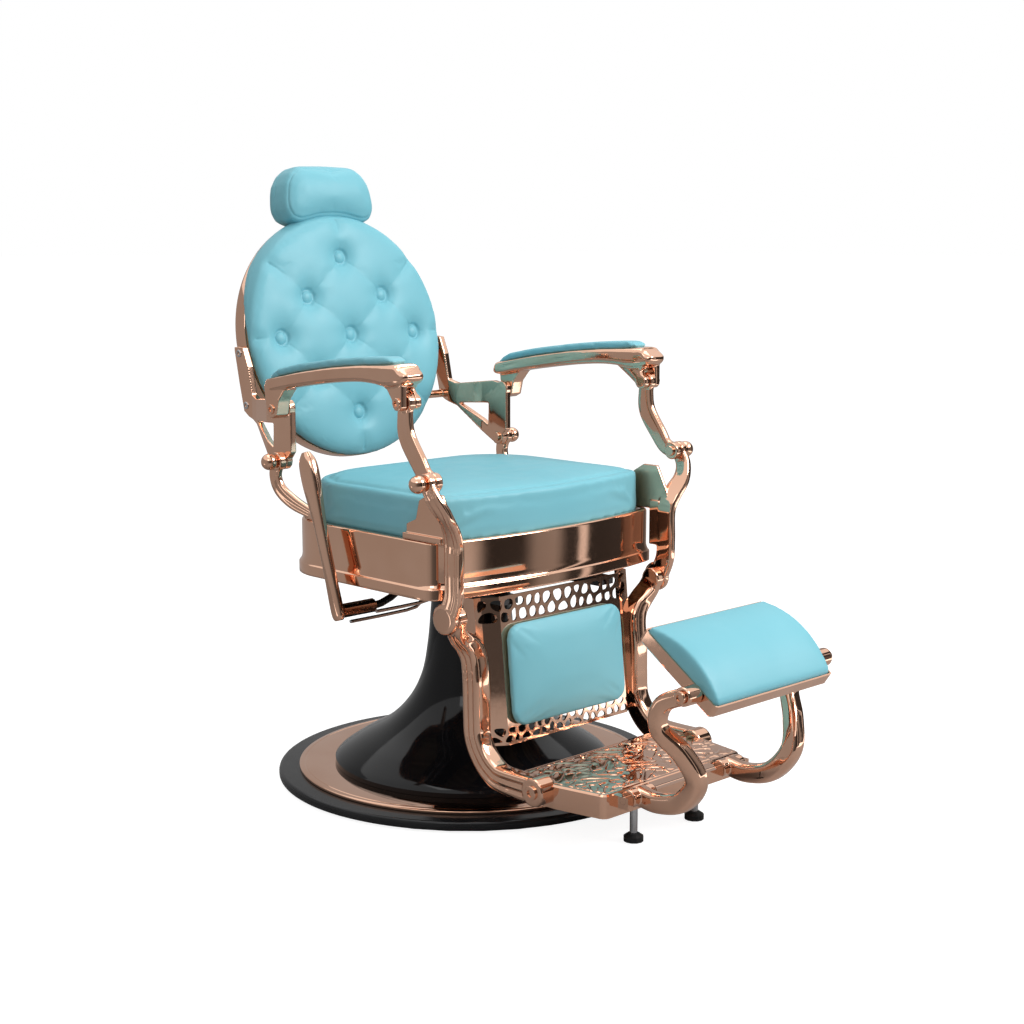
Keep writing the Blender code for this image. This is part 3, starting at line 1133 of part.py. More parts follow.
def build_pan():
    wall, deep = PAN_WALL, PAN_DEPTH
    pan = make("foot_pan", loft([
        pan_ring(wall - deep, wall), pan_ring(0.0, wall), pan_ring(0.0, 0.0),
        pan_ring(PAN_CORNER - deep, 0.0), pan_ring(-deep, PAN_CORNER)]), ROSE_GOLD, pan_axis)
    face = PAN_BOSS_OUT + FIT
    for side in (-1, 1):
        combine(pan, rod_x(side, PAN_HALF_WIDTH - wall / 2, face + FIT, PAN_PIVOT, PIN_RADIUS), "UNION")
        combine(pan, rod_x(side, face, face + PIN_HEAD_HEIGHT, PAN_PIVOT, PIN_HEAD, HALF_STEP), "UNION")
    reach = PAN_HALF_WIDTH - wall - 2 * FIT
    ends = ((reach, FOOT_PAD_DRAW, 0.80), (reach - FOOT_PAD_DRAW, 0.0, 0.92), (reach * 0.85, 0.0, 0.98),
            (reach * 0.4, 0.0, 1.0))
    rows = [(-x, draw, rise) for x, draw, rise in ends]
    rows += [(x, draw, rise) for x, draw, rise in ends[::-1]]
    make("foot_pad", loft([foot_pad_ring(*row) for row in rows]), VINYL, pan_axis)


build_base()
build_lift()
build_seat()
build_back()
build_headrest()
build_lever()
build_leg_panel()
build_footplate()
build_pan()
for side_name, sign in (("left", 1), ("right", -1)):
    build_posts(side_name, sign)
    build_armrest(side_name, sign)
    build_bracket(side_name, sign)
    build_leg(side_name, sign)
    build_fork(side_name, sign)
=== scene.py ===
import math
import random

import bmesh
import bpy
from mathutils import Matrix, Vector, noise


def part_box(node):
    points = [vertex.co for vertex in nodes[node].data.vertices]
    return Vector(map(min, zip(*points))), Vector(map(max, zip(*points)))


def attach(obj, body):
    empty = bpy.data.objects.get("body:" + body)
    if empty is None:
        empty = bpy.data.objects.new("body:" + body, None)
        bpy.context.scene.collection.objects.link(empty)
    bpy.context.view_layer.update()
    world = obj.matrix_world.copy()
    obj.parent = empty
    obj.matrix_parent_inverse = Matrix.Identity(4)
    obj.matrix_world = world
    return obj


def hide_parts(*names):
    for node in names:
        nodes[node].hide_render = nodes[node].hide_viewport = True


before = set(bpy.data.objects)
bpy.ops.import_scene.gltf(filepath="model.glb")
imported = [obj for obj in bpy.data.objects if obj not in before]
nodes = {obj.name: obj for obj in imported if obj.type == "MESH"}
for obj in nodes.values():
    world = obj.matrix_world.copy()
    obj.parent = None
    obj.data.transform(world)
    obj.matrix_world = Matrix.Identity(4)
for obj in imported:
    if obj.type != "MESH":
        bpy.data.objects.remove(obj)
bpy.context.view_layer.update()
scene = bpy.context.scene
print("stage: frame loaded,", len(nodes), "nodes")


# materials

noiseSpan = (0.3, 0.7)  # where a noise field's values mostly lie
metalSet = {"mottle": 9.0, "polish": 160.0, "polishDetail": 3.0, "ripple": 38.0, "rippleDepth": 0.0006}
coatSet = {"mottle": 14.0, "polish": 60.0, "rippleDepth": 0.0004}
vinylSet = {"mottle": 5.0, "mottleDetail": 3.0, "polish": 30.0, "gloss": (0.40, 0.50), "shine": 0.35,
            "hide": 900.0, "hideStrength": 0.10, "hideDepth": 0.0003}
woodSet = {"band": 9.0, "bend": 5.0, "detail": 3.0, "dark": (0.36, 0.22, 0.11), "light": (0.52, 0.36, 0.20),
           "polish": 50.0, "gloss": (0.5, 0.7)}


def startMaterial(name):
    made = bpy.data.materials.new(name)
    made.use_nodes = True
    tree = made.node_tree
    coords = tree.nodes.new("ShaderNodeTexCoord").outputs["Object"]
    return made, tree, tree.nodes["Principled BSDF"], coords


def grain(tree, coords, scale, detail=2.0, stretch=None):
    field = tree.nodes.new("ShaderNodeTexNoise")
    field.inputs["Scale"].default_value = scale
    field.inputs["Detail"].default_value = detail
    if stretch:
        turn = tree.nodes.new("ShaderNodeMapping")
        turn.inputs["Scale"].default_value = stretch
        tree.links.new(coords, turn.inputs["Vector"])
        coords = turn.outputs["Vector"]
    tree.links.new(coords, field.inputs["Vector"])
    return field.outputs["Fac"]


def spread(tree, field, low, high):
    ranged = tree.nodes.new("ShaderNodeMapRange")
    for socket, value in zip(("From Min", "From Max", "To Min", "To Max"), (*noiseSpan, low, high)):
        ranged.inputs[socket].default_value = value
    tree.links.new(field, ranged.inputs["Value"])
    return ranged.outputs["Result"]


def tint(tree, field, dark, light):
    ramp = tree.nodes.new("ShaderNodeValToRGB")
    for stop, place, colour in zip(ramp.color_ramp.elements, noiseSpan, (dark, light)):
        stop.position = place
        stop.color = (*colour, 1.0)
    tree.links.new(field, ramp.inputs["Fac"])
    return ramp.outputs["Color"]


def relief(tree, shader, field, strength, distance):
    bump = tree.nodes.new("ShaderNodeBump")
    bump.inputs["Strength"].default_value = strength
    bump.inputs["Distance"].default_value = distance
    tree.links.new(field, bump.inputs["Height"])
    tree.links.new(bump.outputs["Normal"], shader.inputs["Normal"])


def metalFinish(name, dark, light, gloss, ripple, stretch=None):
    made, tree, shader, coords = startMaterial(name)
    shader.inputs["Metallic"].default_value = 1.0
    mottle = grain(tree, coords, metalSet["mottle"])
    tree.links.new(tint(tree, mottle, dark, light), shader.inputs["Base Color"])
    polish = grain(tree, coords, metalSet["polish"], metalSet["polishDetail"], stretch)
    tree.links.new(spread(tree, polish, *gloss), shader.inputs["Roughness"])
    relief(tree, shader, grain(tree, coords, metalSet["ripple"], 1.0), ripple, metalSet["rippleDepth"])
    return made


def coatedFinish(name, dark, light, gloss, ripple, scale, shine=0.5):
    made, tree, shader, coords = startMaterial(name)
    shader.inputs["Specular IOR Level"].default_value = shine
    mottle = grain(tree, coords, coatSet["mottle"])
    tree.links.new(tint(tree, mottle, dark, light), shader.inputs["Base Color"])
    tree.links.new(spread(tree, grain(tree, coords, coatSet["polish"]), *gloss), shader.inputs["Roughness"])
    relief(tree, shader, grain(tree, coords, scale), ripple, coatSet["rippleDepth"])
    return made


def vinylFinish(name, dark, light):
    made, tree, shader, coords = startMaterial(name)
    mottle = grain(tree, coords, vinylSet["mottle"], vinylSet["mottleDetail"])
    tree.links.new(tint(tree, mottle, dark, light), shader.inputs["Base Color"])
    polish = grain(tree, coords, vinylSet["polish"])
    tree.links.new(spread(tree, polish, *vinylSet["gloss"]), shader.inputs["Roughness"])
    shader.inputs["Specular IOR Level"].default_value = vinylSet["shine"]
    hide = tree.nodes.new("ShaderNodeTexVoronoi")
    hide.feature = "SMOOTH_F1"
    hide.inputs["Scale"].default_value = vinylSet["hide"]
    tree.links.new(coords, hide.inputs["Vector"])
    relief(tree, shader, hide.outputs["Distance"], vinylSet["hideStrength"], vinylSet["hideDepth"])
    return made


def woodFinish(name):
    made, tree, shader, coords = startMaterial(name)
    band = tree.nodes.new("ShaderNodeTexWave")
    band.inputs["Scale"].default_value = woodSet["band"]
    band.inputs["Distortion"].default_value = woodSet["bend"]
    band.inputs["Detail"].default_value = woodSet["detail"]
    tree.links.new(coords, band.inputs["Vector"])
    colour = tint(tree, band.outputs["Fac"], woodSet["dark"], woodSet["light"])
    tree.links.new(colour, shader.inputs["Base Color"])
    polish = grain(tree, coords, woodSet["polish"])
    tree.links.new(spread(tree, polish, *woodSet["gloss"]), shader.inputs["Roughness"])
    return made


finishes = {
    "rose_gold": metalFinish("roseGold", (0.80, 0.47, 0.325), (0.86, 0.53, 0.38), (0.045, 0.085), 0.05),
    "vinyl": vinylFinish("turquoiseVinyl", (0.175, 0.485, 0.57), (0.205, 0.52, 0.605)),
    "black_gloss": coatedFinish("blackGloss", (0.004, 0.004, 0.005), (0.008, 0.008, 0.009), (0.05, 0.10),
                                0.03, 90.0, 0.30),
    "black_steel": coatedFinish("blackSteel", (0.008, 0.008, 0.009), (0.015, 0.015, 0.016), (0.16, 0.26),
                                0.06, 700.0, 0.35),
    "bright_steel": metalFinish("brightSteel", (0.50, 0.50, 0.51), (0.62, 0.62, 0.63), (0.14, 0.26), 0.05,
                                (0.4, 4.0, 4.0)),
    "rubber": coatedFinish("blackRubber", (0.006, 0.006, 0.006), (0.012, 0.012, 0.012), (0.55, 0.75),
                           0.20, 500.0),
    "plywood": woodFinish("seatPlywood"),
}
platedNodes = ("fork_rod",)  # shown in the fork's own finish
for name, node in nodes.items():
    own = node.data.materials[0].name if node.data.materials else ""
    slotName = next((key for key in finishes if own.startswith(key)), "rose_gold")
    node.data.materials.clear()
    node.data.materials.append(finishes["rose_gold" if name in platedNodes else slotName])
print("stage: materials")


# shared modelling steps

def tidyMesh(bm):
    bmesh.ops.remove_doubles(bm, verts=bm.verts, dist=0.00001)
    bmesh.ops.recalc_face_normals(bm, faces=bm.faces)


def meshOf(name, bm):
    mesh = bpy.data.meshes.new(name)
    bm.to_mesh(mesh)
    bm.free()
    return mesh


def bmeshOf(mesh):
    bm = bmesh.new()
    bm.from_mesh(mesh)
    bpy.data.meshes.remove(mesh)
    return bm


def holderOf(name, bm):
    holder = bpy.data.objects.new(name, meshOf(name, bm))
    scene.collection.objects.link(holder)
    return holder


def drop(holder):
    mesh = holder.data
    bpy.data.objects.remove(holder)
    bpy.data.meshes.remove(mesh)


def evaluated(holder):
    graph = bpy.context.evaluated_depsgraph_get()
    return bpy.data.meshes.new_from_object(holder.evaluated_get(graph))


def settled(holder):
    # the mesh with its modifiers applied, without the object that held it
    mesh = evaluated(holder)
    drop(holder)
    return mesh


def fuse(holder, voxel):
    made = holder.modifiers.new("fuse", "REMESH")
    made.mode = "VOXEL"
    made.voxel_size = voxel


def soften(holder, passes):
    made = holder.modifiers.new("soft", "SMOOTH")
    made.factor = 0.5
    made.iterations = passes


def pierce(holder, cutter):
    made = holder.modifiers.new("pierce", "BOOLEAN")
    made.operation = "DIFFERENCE"
    made.solver = "EXACT"
    made.object = cutter


def roundEdges(holder, width, segments, degrees):
    made = holder.modifiers.new("soft", "BEVEL")
    made.width = width
    made.segments = segments
    made.limit_method = "ANGLE"
    made.angle_limit = math.radians(degrees)


def addPiece(name, bm, body, slotName, replaced=(), degrees=32):
    # edges that turn more than the given degrees stay sharp
    for face in bm.faces:
        face.smooth = True
    for edge in bm.edges:
        if len(edge.link_faces) == 2 and edge.calc_face_angle(0.0) > math.radians(degrees):
            edge.smooth = False
    return addMesh(name, meshOf(name, bm), body, slotName, replaced)


def addMesh(name, mesh, body, slotName, replaced=()):
    mesh.materials.clear()
    mesh.materials.append(finishes[slotName])
    piece = bpy.data.objects.new(name, mesh)
    scene.collection.objects.link(piece)
    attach(piece, body)
    if replaced:
        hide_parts(*replaced)
    return piece


def nodeCopy(name):
    bm = bmesh.new()
    bm.from_mesh(nodes[name].data)
    bmesh.ops.remove_doubles(bm, verts=bm.verts, dist=0.00002)
    bmesh.ops.recalc_face_normals(bm, faces=bm.faces)
    return bm


def spinProfile(bm, profile, steps, place=Matrix()):
    points = [bm.verts.new((r, 0.0, z)) for r, z in profile]
    chain = [bm.edges.new(pair) for pair in zip(points, points[1:])]
    bmesh.ops.spin(bm, geom=points + chain, cent=(0, 0, 0), axis=(0, 0, 1), angle=math.tau,
                   steps=steps, use_merge=True)
    tidyMesh(bm)
    bmesh.ops.transform(bm, matrix=place, verts=bm.verts)
    return bm


def addTurned(bm, profile, steps, place):
    # adds one turned solid to a bmesh that holds others
    part = meshOf("turnedPart", spinProfile(bmesh.new(), profile, steps, place))
    bm.from_mesh(part)
    bpy.data.meshes.remove(part)


def curveBetween(start, corner, end, t):
    return start * (1 - t) ** 2 + corner * (2 * t * (1 - t)) + end * t * t


def roundedChain(corners, radius, steps=4):
    chain = [Vector(corners[0])]
    for before, here, after in zip(corners, corners[1:], corners[2:]):
        here = Vector(here)
        back = Vector(before) - here
        ahead = Vector(after) - here
        reach = min(radius, back.length * 0.45, ahead.length * 0.45)
        start = here + back.normalized() * reach
        end = here + ahead.normalized() * reach
        chain += [curveBetween(start, here, end, k / steps) for k in range(steps + 1)]
    chain.append(Vector(corners[-1]))
    return chain


def splineRows(rows, steps):
    # a smooth curve through every row
    rows = [Vector(row) for row in rows]
    line = []
    for k in range(len(rows) - 1):
        a = rows[max(k - 1, 0)]
        b, c = rows[k], rows[k + 1]
        d = rows[min(k + 2, len(rows) - 1)]
        for j in range(steps):
            t = j / steps
            line.append((b * 2 + (c - a) * t + (a * 2 - b * 5 + c * 4 - d) * t * t
                         + (b * 3 - a - c * 3 + d) * t ** 3) / 2)
    line.append(rows[-1])
    return line


def barFrames(rows, steps):
    # a row is a point with half its width and half its depth
    line = splineRows(rows, steps)
    points = [Vector(row[:3]) for row in line]
    frames = []
    for k, row in enumerate(line):
        along = (points[min(k + 1, len(points) - 1)] - points[max(k - 1, 0)]).normalized()
        wide = Vector((1.0, 0.0, 0.0))
        wide = (wide - along * wide.dot(along)).normalized()
        deep = along.cross(wide)
        turn = Matrix((wide, deep, along)).transposed().to_4x4()
        size = Matrix.Diagonal((row[3], row[4], 1.0, 1.0))
        frames.append(Matrix.Translation(points[k]) @ turn @ size)
    return frames


def vertsIn(made):
    return [item for item in made if isinstance(item, bmesh.types.BMVert)]


def sweepBar(bm, rows, steps=8, count=56, power=3.0, grooves=(), depth=0.0, breadth=0.14):
    # a closed bar: one ring, extruded from station to station and capped
    frames = barFrames(rows, steps)
    ring = bmesh.ops.create_circle(bm, segments=count, radius=1.0)["verts"]
    for vert in ring:
        c, s = vert.co.x, vert.co.y
        u = math.copysign(abs(c) ** (2 / power), c)
        v = math.copysign(abs(s) ** (2 / power), s)
        if u > 0.0:
            u -= depth * sum(math.exp(-((v - g) / breadth) ** 2) for g in grooves) * min(1.0, u * 1.4)
        vert.co = (u, v, 0.0)
    bmesh.ops.transform(bm, matrix=frames[0], verts=ring)
    edges = list({edge for vert in ring for edge in vert.link_edges})
    first = edges
    for before, after in zip(frames, frames[1:]):
        made = bmesh.ops.extrude_edge_only(bm, edges=edges)["geom"]
        fresh = vertsIn(made)
        bmesh.ops.transform(bm, matrix=after @ before.inverted(), verts=fresh)
        edges = [item for item in made if isinstance(item, bmesh.types.BMEdge)
                 and all(vert in fresh for vert in item.verts)]
    bmesh.ops.edgeloop_fill(bm, edges=first)
    bmesh.ops.edgeloop_fill(bm, edges=edges)


def drum(bm, x0, x1, y, z, radius, edge=0.0015, count=48):
    # a short rounded cylinder that lies along X
    made = bmesh.ops.create_cone(bm, cap_ends=True, segments=count, radius1=radius, radius2=radius,
                                 depth=abs(x1 - x0))["verts"]
    rims = [e for e in {e for v in made for e in v.link_edges}
            if abs(e.verts[0].co.z - e.verts[1].co.z) < 1e-6]
    place = Matrix.Translation(((x0 + x1) / 2, y, z)) @ Matrix.Rotation(math.radians(90), 4, "Y")
    bmesh.ops.transform(bm, matrix=place, verts=made)
    if edge:
        bmesh.ops.bevel(bm, geom=rims, offset=edge, segments=3, profile=0.5, affect="EDGES", material=-1)


def pushFace(bm, face, shift, share=1.0):
    # extrudes a face, scales the new one in X and Y and moves it
    made = bmesh.ops.extrude_face_region(bm, geom=[face])["geom"]
    fresh = vertsIn(made)
    if share != 1.0:
        bmesh.ops.scale(bm, vec=(share, share, 1.0), verts=fresh)
    bmesh.ops.translate(bm, vec=shift, verts=fresh)
    return next(item for item in made if isinstance(item, bmesh.types.BMFace))


def insetFace(bm, face, inward, rise):
    bmesh.ops.inset_region(bm, faces=[face], thickness=inward, depth=0.0, use_even_offset=True,
                           use_boundary=True)
    bmesh.ops.translate(bm, vec=(0, 0, rise), verts=face.verts)


def prism(bm, outline, x0, x1):
    # an outline in (y, z) extruded along X
    face = bm.faces.new([bm.verts.new((x0, y, z)) for y, z in outline])
    pushFace(bm, face, (x1 - x0, 0, 0))


def castMesh(name, bm, voxel, passes, cutter=None):
    # fuses the overlapping solids and softens every corner as a casting does
    bmesh.ops.recalc_face_normals(bm, faces=bm.faces)
    holder = holderOf(name + "Raw", bm)
    if cutter:
        pierce(holder, cutter)
    fuse(holder, voxel)
    soften(holder, passes)
    mesh = settled(holder)
    mesh.name = name
    mesh.polygons.foreach_set("use_smooth", [True] * len(mesh.polygons))
    return mesh


def addPair(name, bm, body, node, voxel, passes, cutter=None):
    # adds the +X casting and its mirror image
    mesh = castMesh(name + "Left", bm, voxel, passes, cutter)
    other = mesh.copy()
    other.name = name + "Right"
    other.transform(Matrix.Diagonal((-1, 1, 1, 1)))
    other.flip_normals()
    addMesh(name + "Left", mesh, body.format("left"), "rose_gold", (node + "_left",))
    addMesh(name + "Right", other, body.format("right"), "rose_gold", (node + "_right",))


def cuttingBlock(name, bm):
    # an object that Booleans cut with, dropped after use
    bmesh.ops.recalc_face_normals(bm, faces=bm.faces)
    return holderOf(name, bm)


def bell(gap, width):
    return math.exp(-(gap / width) ** 2)


def clamp(value):
    return min(1.0, max(0.0, value))


# base

baseSet = {"radius": 0.350, "low": 0.004, "high": 0.0205, "edge": 0.007, "edgeSteps": 6, "steps": 192}
trimSet = {"inner": 0.225, "outer": 0.3134, "low": 0.0208, "high": 0.0273, "chamfer": 0.0012,
           "groove": 0.303, "grooveHalf": 0.00135, "cut": 0.0009, "edge": 0.0014, "edgeSteps": 3}
coverSet = {"foot": 0.0276, "flare": 0.248, "neck": 0.070, "bore": 0.0385, "top": 0.345, "lip": 0.003,
            "wall": 0.004, "innerDrop": 0.0024, "curveSteps": 6,
            "curve": ((1.0, 0.0), (0.86, 0.02), (0.68, 0.05), (0.50, 0.11), (0.35, 0.24), (0.22, 0.46),
                      (0.12, 0.76), (0.055, 0.94), (0.025, 1.0))}

s = baseSet
corners = [(0.0, s["low"]), (s["radius"], s["low"]), (s["radius"], s["high"]), (0.0, s["high"])]
disc = roundedChain(corners, s["edge"], s["edgeSteps"])
addPiece("baseDisc", spinProfile(bmesh.new(), disc, s["steps"]), "base", "black_steel", ("base_plate",))

s = trimSet
corners = [(s["inner"], s["low"]), (s["outer"], s["low"]), (s["outer"], s["high"] - s["chamfer"]),
           (s["groove"] + s["grooveHalf"], s["high"]), (s["groove"], s["high"] - s["cut"]),
           (s["groove"] - s["grooveHalf"], s["high"]), (s["inner"], s["high"]), (s["inner"], s["low"])]
trim = roundedChain(corners, s["edge"], s["edgeSteps"])
bm = spinProfile(bmesh.new(), trim, baseSet["steps"])
addPiece("baseTrim", bm, "base", "rose_gold", ("base_trim_ring",))

s = coverSet
reach = s["flare"] - s["neck"]
rise = s["top"] - s["foot"]
outer = [(s["neck"] + reach * out, s["foot"] + rise * up) for up, out in s["curve"]]
outer = splineRows(outer, s["curveSteps"])
inner = [Vector((p.x - s["wall"], p.y - s["innerDrop"])) for p in outer[::-1] if p.y - s["wall"] > s["foot"]]
profile = [(s["bore"], s["top"]), (s["neck"] - s["lip"], s["top"]), (s["neck"], s["top"] - s["lip"])]
profile += outer[2:] + [(s["flare"], s["foot"]), (s["flare"] - s["wall"], s["foot"])] + inner
addPiece("pedestalCover", spinProfile(bmesh.new(), profile, baseSet["steps"]),
         "base", "black_gloss", ("pedestal_cover",))
print("stage: base")


# seat skirt

skirtSet = {"half": 0.270, "rear": 0.215, "rearRadius": 0.110, "front": 0.190, "bow": 0.035,
            "frontRadius": 0.025, "low": 0.384, "foot": 0.0015, "rim": 0.401, "roll": 0.474, "step": 0.006,
            "cove": ((0.0004, 0.0010), (0.0010, 0.0006), (0.0014, 0.0022), (0.0013, 0.0026),
                     (0.0011, 0.0028), (0.0006, 0.0030), (0.0002, 0.0035)),
            "lip": ((0.0006, 0.0022), (0.0014, 0.0018), (0.0022, 0.0010), (0.0118, 0.0)),
            "wall": 0.0035, "capSides": 8, "sharp": 40}
outlineSet = {"front": 40, "corner": 8, "side": 12, "rearCorner": 16, "rear": 10,  # points on each
              "pull": 0.25}  # how far the front corners come forward


def seatOutline(half, rear, rearRadius, front, bow, frontRadius):
    # counter-clockwise from the front, as (x, y)
    line = []
    across = outlineSet["front"]
    edge = half - frontRadius
    for k in range(across + 1):
        x = -edge + 2 * edge * k / across
        line.append(Vector((x, -front - bow * (1.0 - (x / half) ** 2))))
    start = line[-1]
    corner = Vector((half, start.y + frontRadius * outlineSet["pull"]))
    end = Vector((half, corner.y + frontRadius))
    for k in range(1, outlineSet["corner"]):
        line.append(curveBetween(start, corner, end, k / outlineSet["corner"]))
    for k in range(outlineSet["side"] + 1):
        line.append(Vector((half, end.y + (rear - rearRadius - end.y) * k / outlineSet["side"])))
    for k in range(1, outlineSet["rearCorner"] + 1):
        turn = math.pi / 2 * k / outlineSet["rearCorner"]
        line.append(Vector((half - rearRadius + rearRadius * math.cos(turn),
                            rear - rearRadius + rearRadius * math.sin(turn))))
    for k in range(1, outlineSet["rear"] + 1):
        line.append(Vector(((half - rearRadius) * (1 - k / outlineSet["rear"]), rear)))
    mirror = [Vector((-p.x, p.y)) for p in line[across + 1:-1]]
    return line + mirror[::-1]


def seatFace(bm, s, step, z):
    # the seat's outline as one flat face, a step wider all round
    outline = seatOutline(s["half"] + step, s["rear"] + step, s["rearRadius"] + step,
                          s["front"] + step, s["bow"], s["frontRadius"] + step)
    return bm.faces.new([bm.verts.new((p.x, p.y, z)) for p in outline])


s = skirtSet
bm = bmesh.new()
face = pushFace(bm, seatFace(bm, s, s["step"], s["low"]), (0, 0, s["foot"]))
face = pushFace(bm, face, (0, 0, s["rim"] - s["low"] - s["foot"]))
for inward, rise in s["cove"]:
    insetFace(bm, face, inward, rise)
face = pushFace(bm, face, (0, 0, s["roll"] - face.calc_center_median().z))
for inward, rise in s["lip"]:
    insetFace(bm, face, inward, rise)
bmesh.ops.delete(bm, geom=[f for f in bm.faces if len(f.verts) > s["capSides"]], context="FACES")
bmesh.ops.recalc_face_normals(bm, faces=bm.faces)
skirt = addPiece("seatSkirt", bm, "seat", "rose_gold", ("seat_skirt",), s["sharp"])
shell = skirt.modifiers.new("wall", "SOLIDIFY")
shell.thickness = s["wall"]
shell.offset = -1.0
print("stage: skirt")


# cushions

clothSet = {"stiffness": 15.0, "bending": 0.6, "quality": 5, "frames": 20, "smoothing": 3}


def swell(holder, cap, pinned, pressure):
    rest = holder.data
    group = holder.vertex_groups.new(name="pinned")
    for vert in rest.vertices:
        hold = pinned(vert.co)
        if hold > 0.0:
            group.add([vert.index], hold, "REPLACE")
    cloth = holder.modifiers.new("cloth", "CLOTH")
    cloth.settings.use_pressure = True
    cloth.settings.uniform_pressure_force = pressure
    cloth.settings.vertex_group_mass = "pinned"
    cloth.settings.tension_stiffness = clothSet["stiffness"]
    cloth.settings.compression_stiffness = clothSet["stiffness"]
    cloth.settings.bending_stiffness = clothSet["bending"]
    cloth.settings.quality = clothSet["quality"]
    cloth.settings.effector_weights.gravity = 0.0
    cloth.point_cache.frame_start = 1
    cloth.point_cache.frame_end = clothSet["frames"]
    for step in range(1, clothSet["frames"] + 1):
        scene.frame_set(step)
    swollen = evaluated(holder)
    scene.frame_set(1)
    holder.modifiers.clear()
    for vert, moved in zip(rest.vertices, swollen.vertices):
        shift = moved.co - vert.co
        if shift.length > cap:
            shift *= cap / shift.length
        vert.co = vert.co + shift
    bpy.data.meshes.remove(swollen)


def puff(bm, voxel, cap, pinned, pressure=4.0):
    # remeshes a closed form, swells it by cloth pressure and returns the finished bmesh
    bmesh.ops.recalc_face_normals(bm, faces=bm.faces)
    holder = holderOf("puffRaw", bm)
    fuse(holder, voxel)
    soften(holder, clothSet["smoothing"])
    raw = holder.data
    rest = evaluated(holder)
    holder.modifiers.clear()
    holder.data = rest
    bpy.data.meshes.remove(raw)
    swell(holder, cap, pinned, pressure)
    finer = holder.modifiers.new("finer", "SUBSURF")
    finer.levels = 1
    finer.render_levels = 1
    made = bmeshOf(settled(holder))
    made.normal_update()
    return made


def addCushion(name, bm, body, node):
    piece = addPiece(name, bm, body, "vinyl", (node,), 180)
    return piece


def sew(bm, gapOf, depth, width):
    # draws a sewn line into the cover where gapOf(point) is near nothing
    shifts = []
    for vert in bm.verts:
        gap = gapOf(vert.co)
        if abs(gap) < width * 3:
            shifts.append((vert, vert.normal * -depth * bell(gap, width)))
    for vert, shift in shifts:
        vert.co += shift


seatSet = {"half": 0.254, "rear": 0.195, "rearRadius": 0.128, "front": 0.179, "bow": 0.035,
           "frontRadius": 0.024, "wall": 0.067,
           "edge": ((0.0010, 0.0032), (0.0026, 0.0024), (0.0050, 0.0014)),
           "crown": ((0.95, 0.0026), (0.85, 0.0046), (0.72, 0.0038), (0.5, 0.0016)),
           "voxel": 0.005, "cap": 0.0013, "pressure": 1.6, "pinned": 0.014,
           "seam": 0.5505, "seamX": 0.2, "seamY": 0.12, "depth": 0.0022, "width": 0.0018}


def seatSeam(point):
    onSide = abs(point.x) > seatSet["seamX"] or abs(point.y) > seatSet["seamY"]
    return point.z - seatSet["seam"] if onSide else 1.0


s = seatSet
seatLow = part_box("seat_cushion")[0].z
bm = bmesh.new()
face = pushFace(bm, seatFace(bm, s, 0.0, seatLow), (0, 0, s["wall"]))
for inward, rise in s["edge"]:
    insetFace(bm, face, inward, rise)
for share, rise in s["crown"]:
    face = pushFace(bm, face, (0, 0, rise), share)
bm = puff(bm, s["voxel"], s["cap"], lambda p: 1.0 if p.z < seatLow + s["pinned"] else 0.0, s["pressure"])
sew(bm, seatSeam, s["depth"], s["width"])
addCushion("seatCushion", bm, "seat", "seat_cushion")
print("stage: seat cushion")

# the back stands in its own frame: x across, y to the rear, z up
backPlace = Matrix.Translation((0.0, 0.345, 0.780)) @ Matrix.Rotation(math.radians(-10.2), 4, "X")
backInverse = backPlace.inverted()
turnBack = backPlace @ Matrix.Rotation(math.radians(-90), 4, "X")  # a turned profile's axis to the rear
rearward = backPlace.to_3x3() @ Vector((0, 1, 0))
backSet = {"radius": 0.2285, "rest": 0.0057, "flat": 0.030, "shoulder": 0.0205, "crown": 0.028,
           "rim": ((-0.006, 0.0057), (0.0, 0.0017), (0.001, -0.003), (-0.003, -0.011), (-0.014, -0.018)),
           "rings": 12, "steps": 96, "voxel": 0.0042, "cap": 0.005,
           "wrap": 0.030, "wrapOut": 0.019, "wrapFrom": -0.012, "wrapInner": 0.205, "wrapOuter": 0.2235,
           "wrapStart": 0.05, "wrapSpan": 0.55,
           "tuft": 0.022, "tuftSize": 0.021, "tuftFade": 0.012, "fold": 0.0052, "foldSize": 0.013,
           "foldSpan": (0.08, 0.13), "foldMiddle": 0.45, "foldEnd": 0.95,
           "crease": 0.0025, "creaseSize": 0.0022, "creaseFrom": -0.003, "creaseGap": 0.15,
           "pinnedFrom": -0.002, "pinnedButton": 0.010, "pinnedFold": 0.0035, "foldHold": 0.9}
buttonSet = {"radius": 0.0128, "height": 0.0070, "sink": 0.0035, "root": 0.002, "seat": 0.0015, "rings": 8,
             "steps": 32, "sharp": 60,
             "spots": ((0.0, 0.147), (-0.09, 0.0735), (0.09, 0.0735), (-0.16, 0.0), (0.0, 0.0), (0.16, 0.0),
                       (-0.09, -0.0735), (0.09, -0.0735), (0.0, -0.147))}
b = backSet
buttons = [Vector(spot) for spot in buttonSet["spots"]]
folds = []
for k, spot in enumerate(buttons):
    folds += [(spot, other) for other in buttons[k + 1:]
              if b["foldSpan"][0] < (spot - other).length < b["foldSpan"][1]]
folds += [(spot, spot.normalized() * b["radius"] * b["foldEnd"]) for spot in buttons if spot.length > 0.0]


def flatSpot(local):
    return Vector((local.x, local.z))


def lineGap(spot, start, end):
    along = end - start
    share = clamp((spot - start).dot(along) / along.length_squared)
    return (spot - start - along * share).length, share


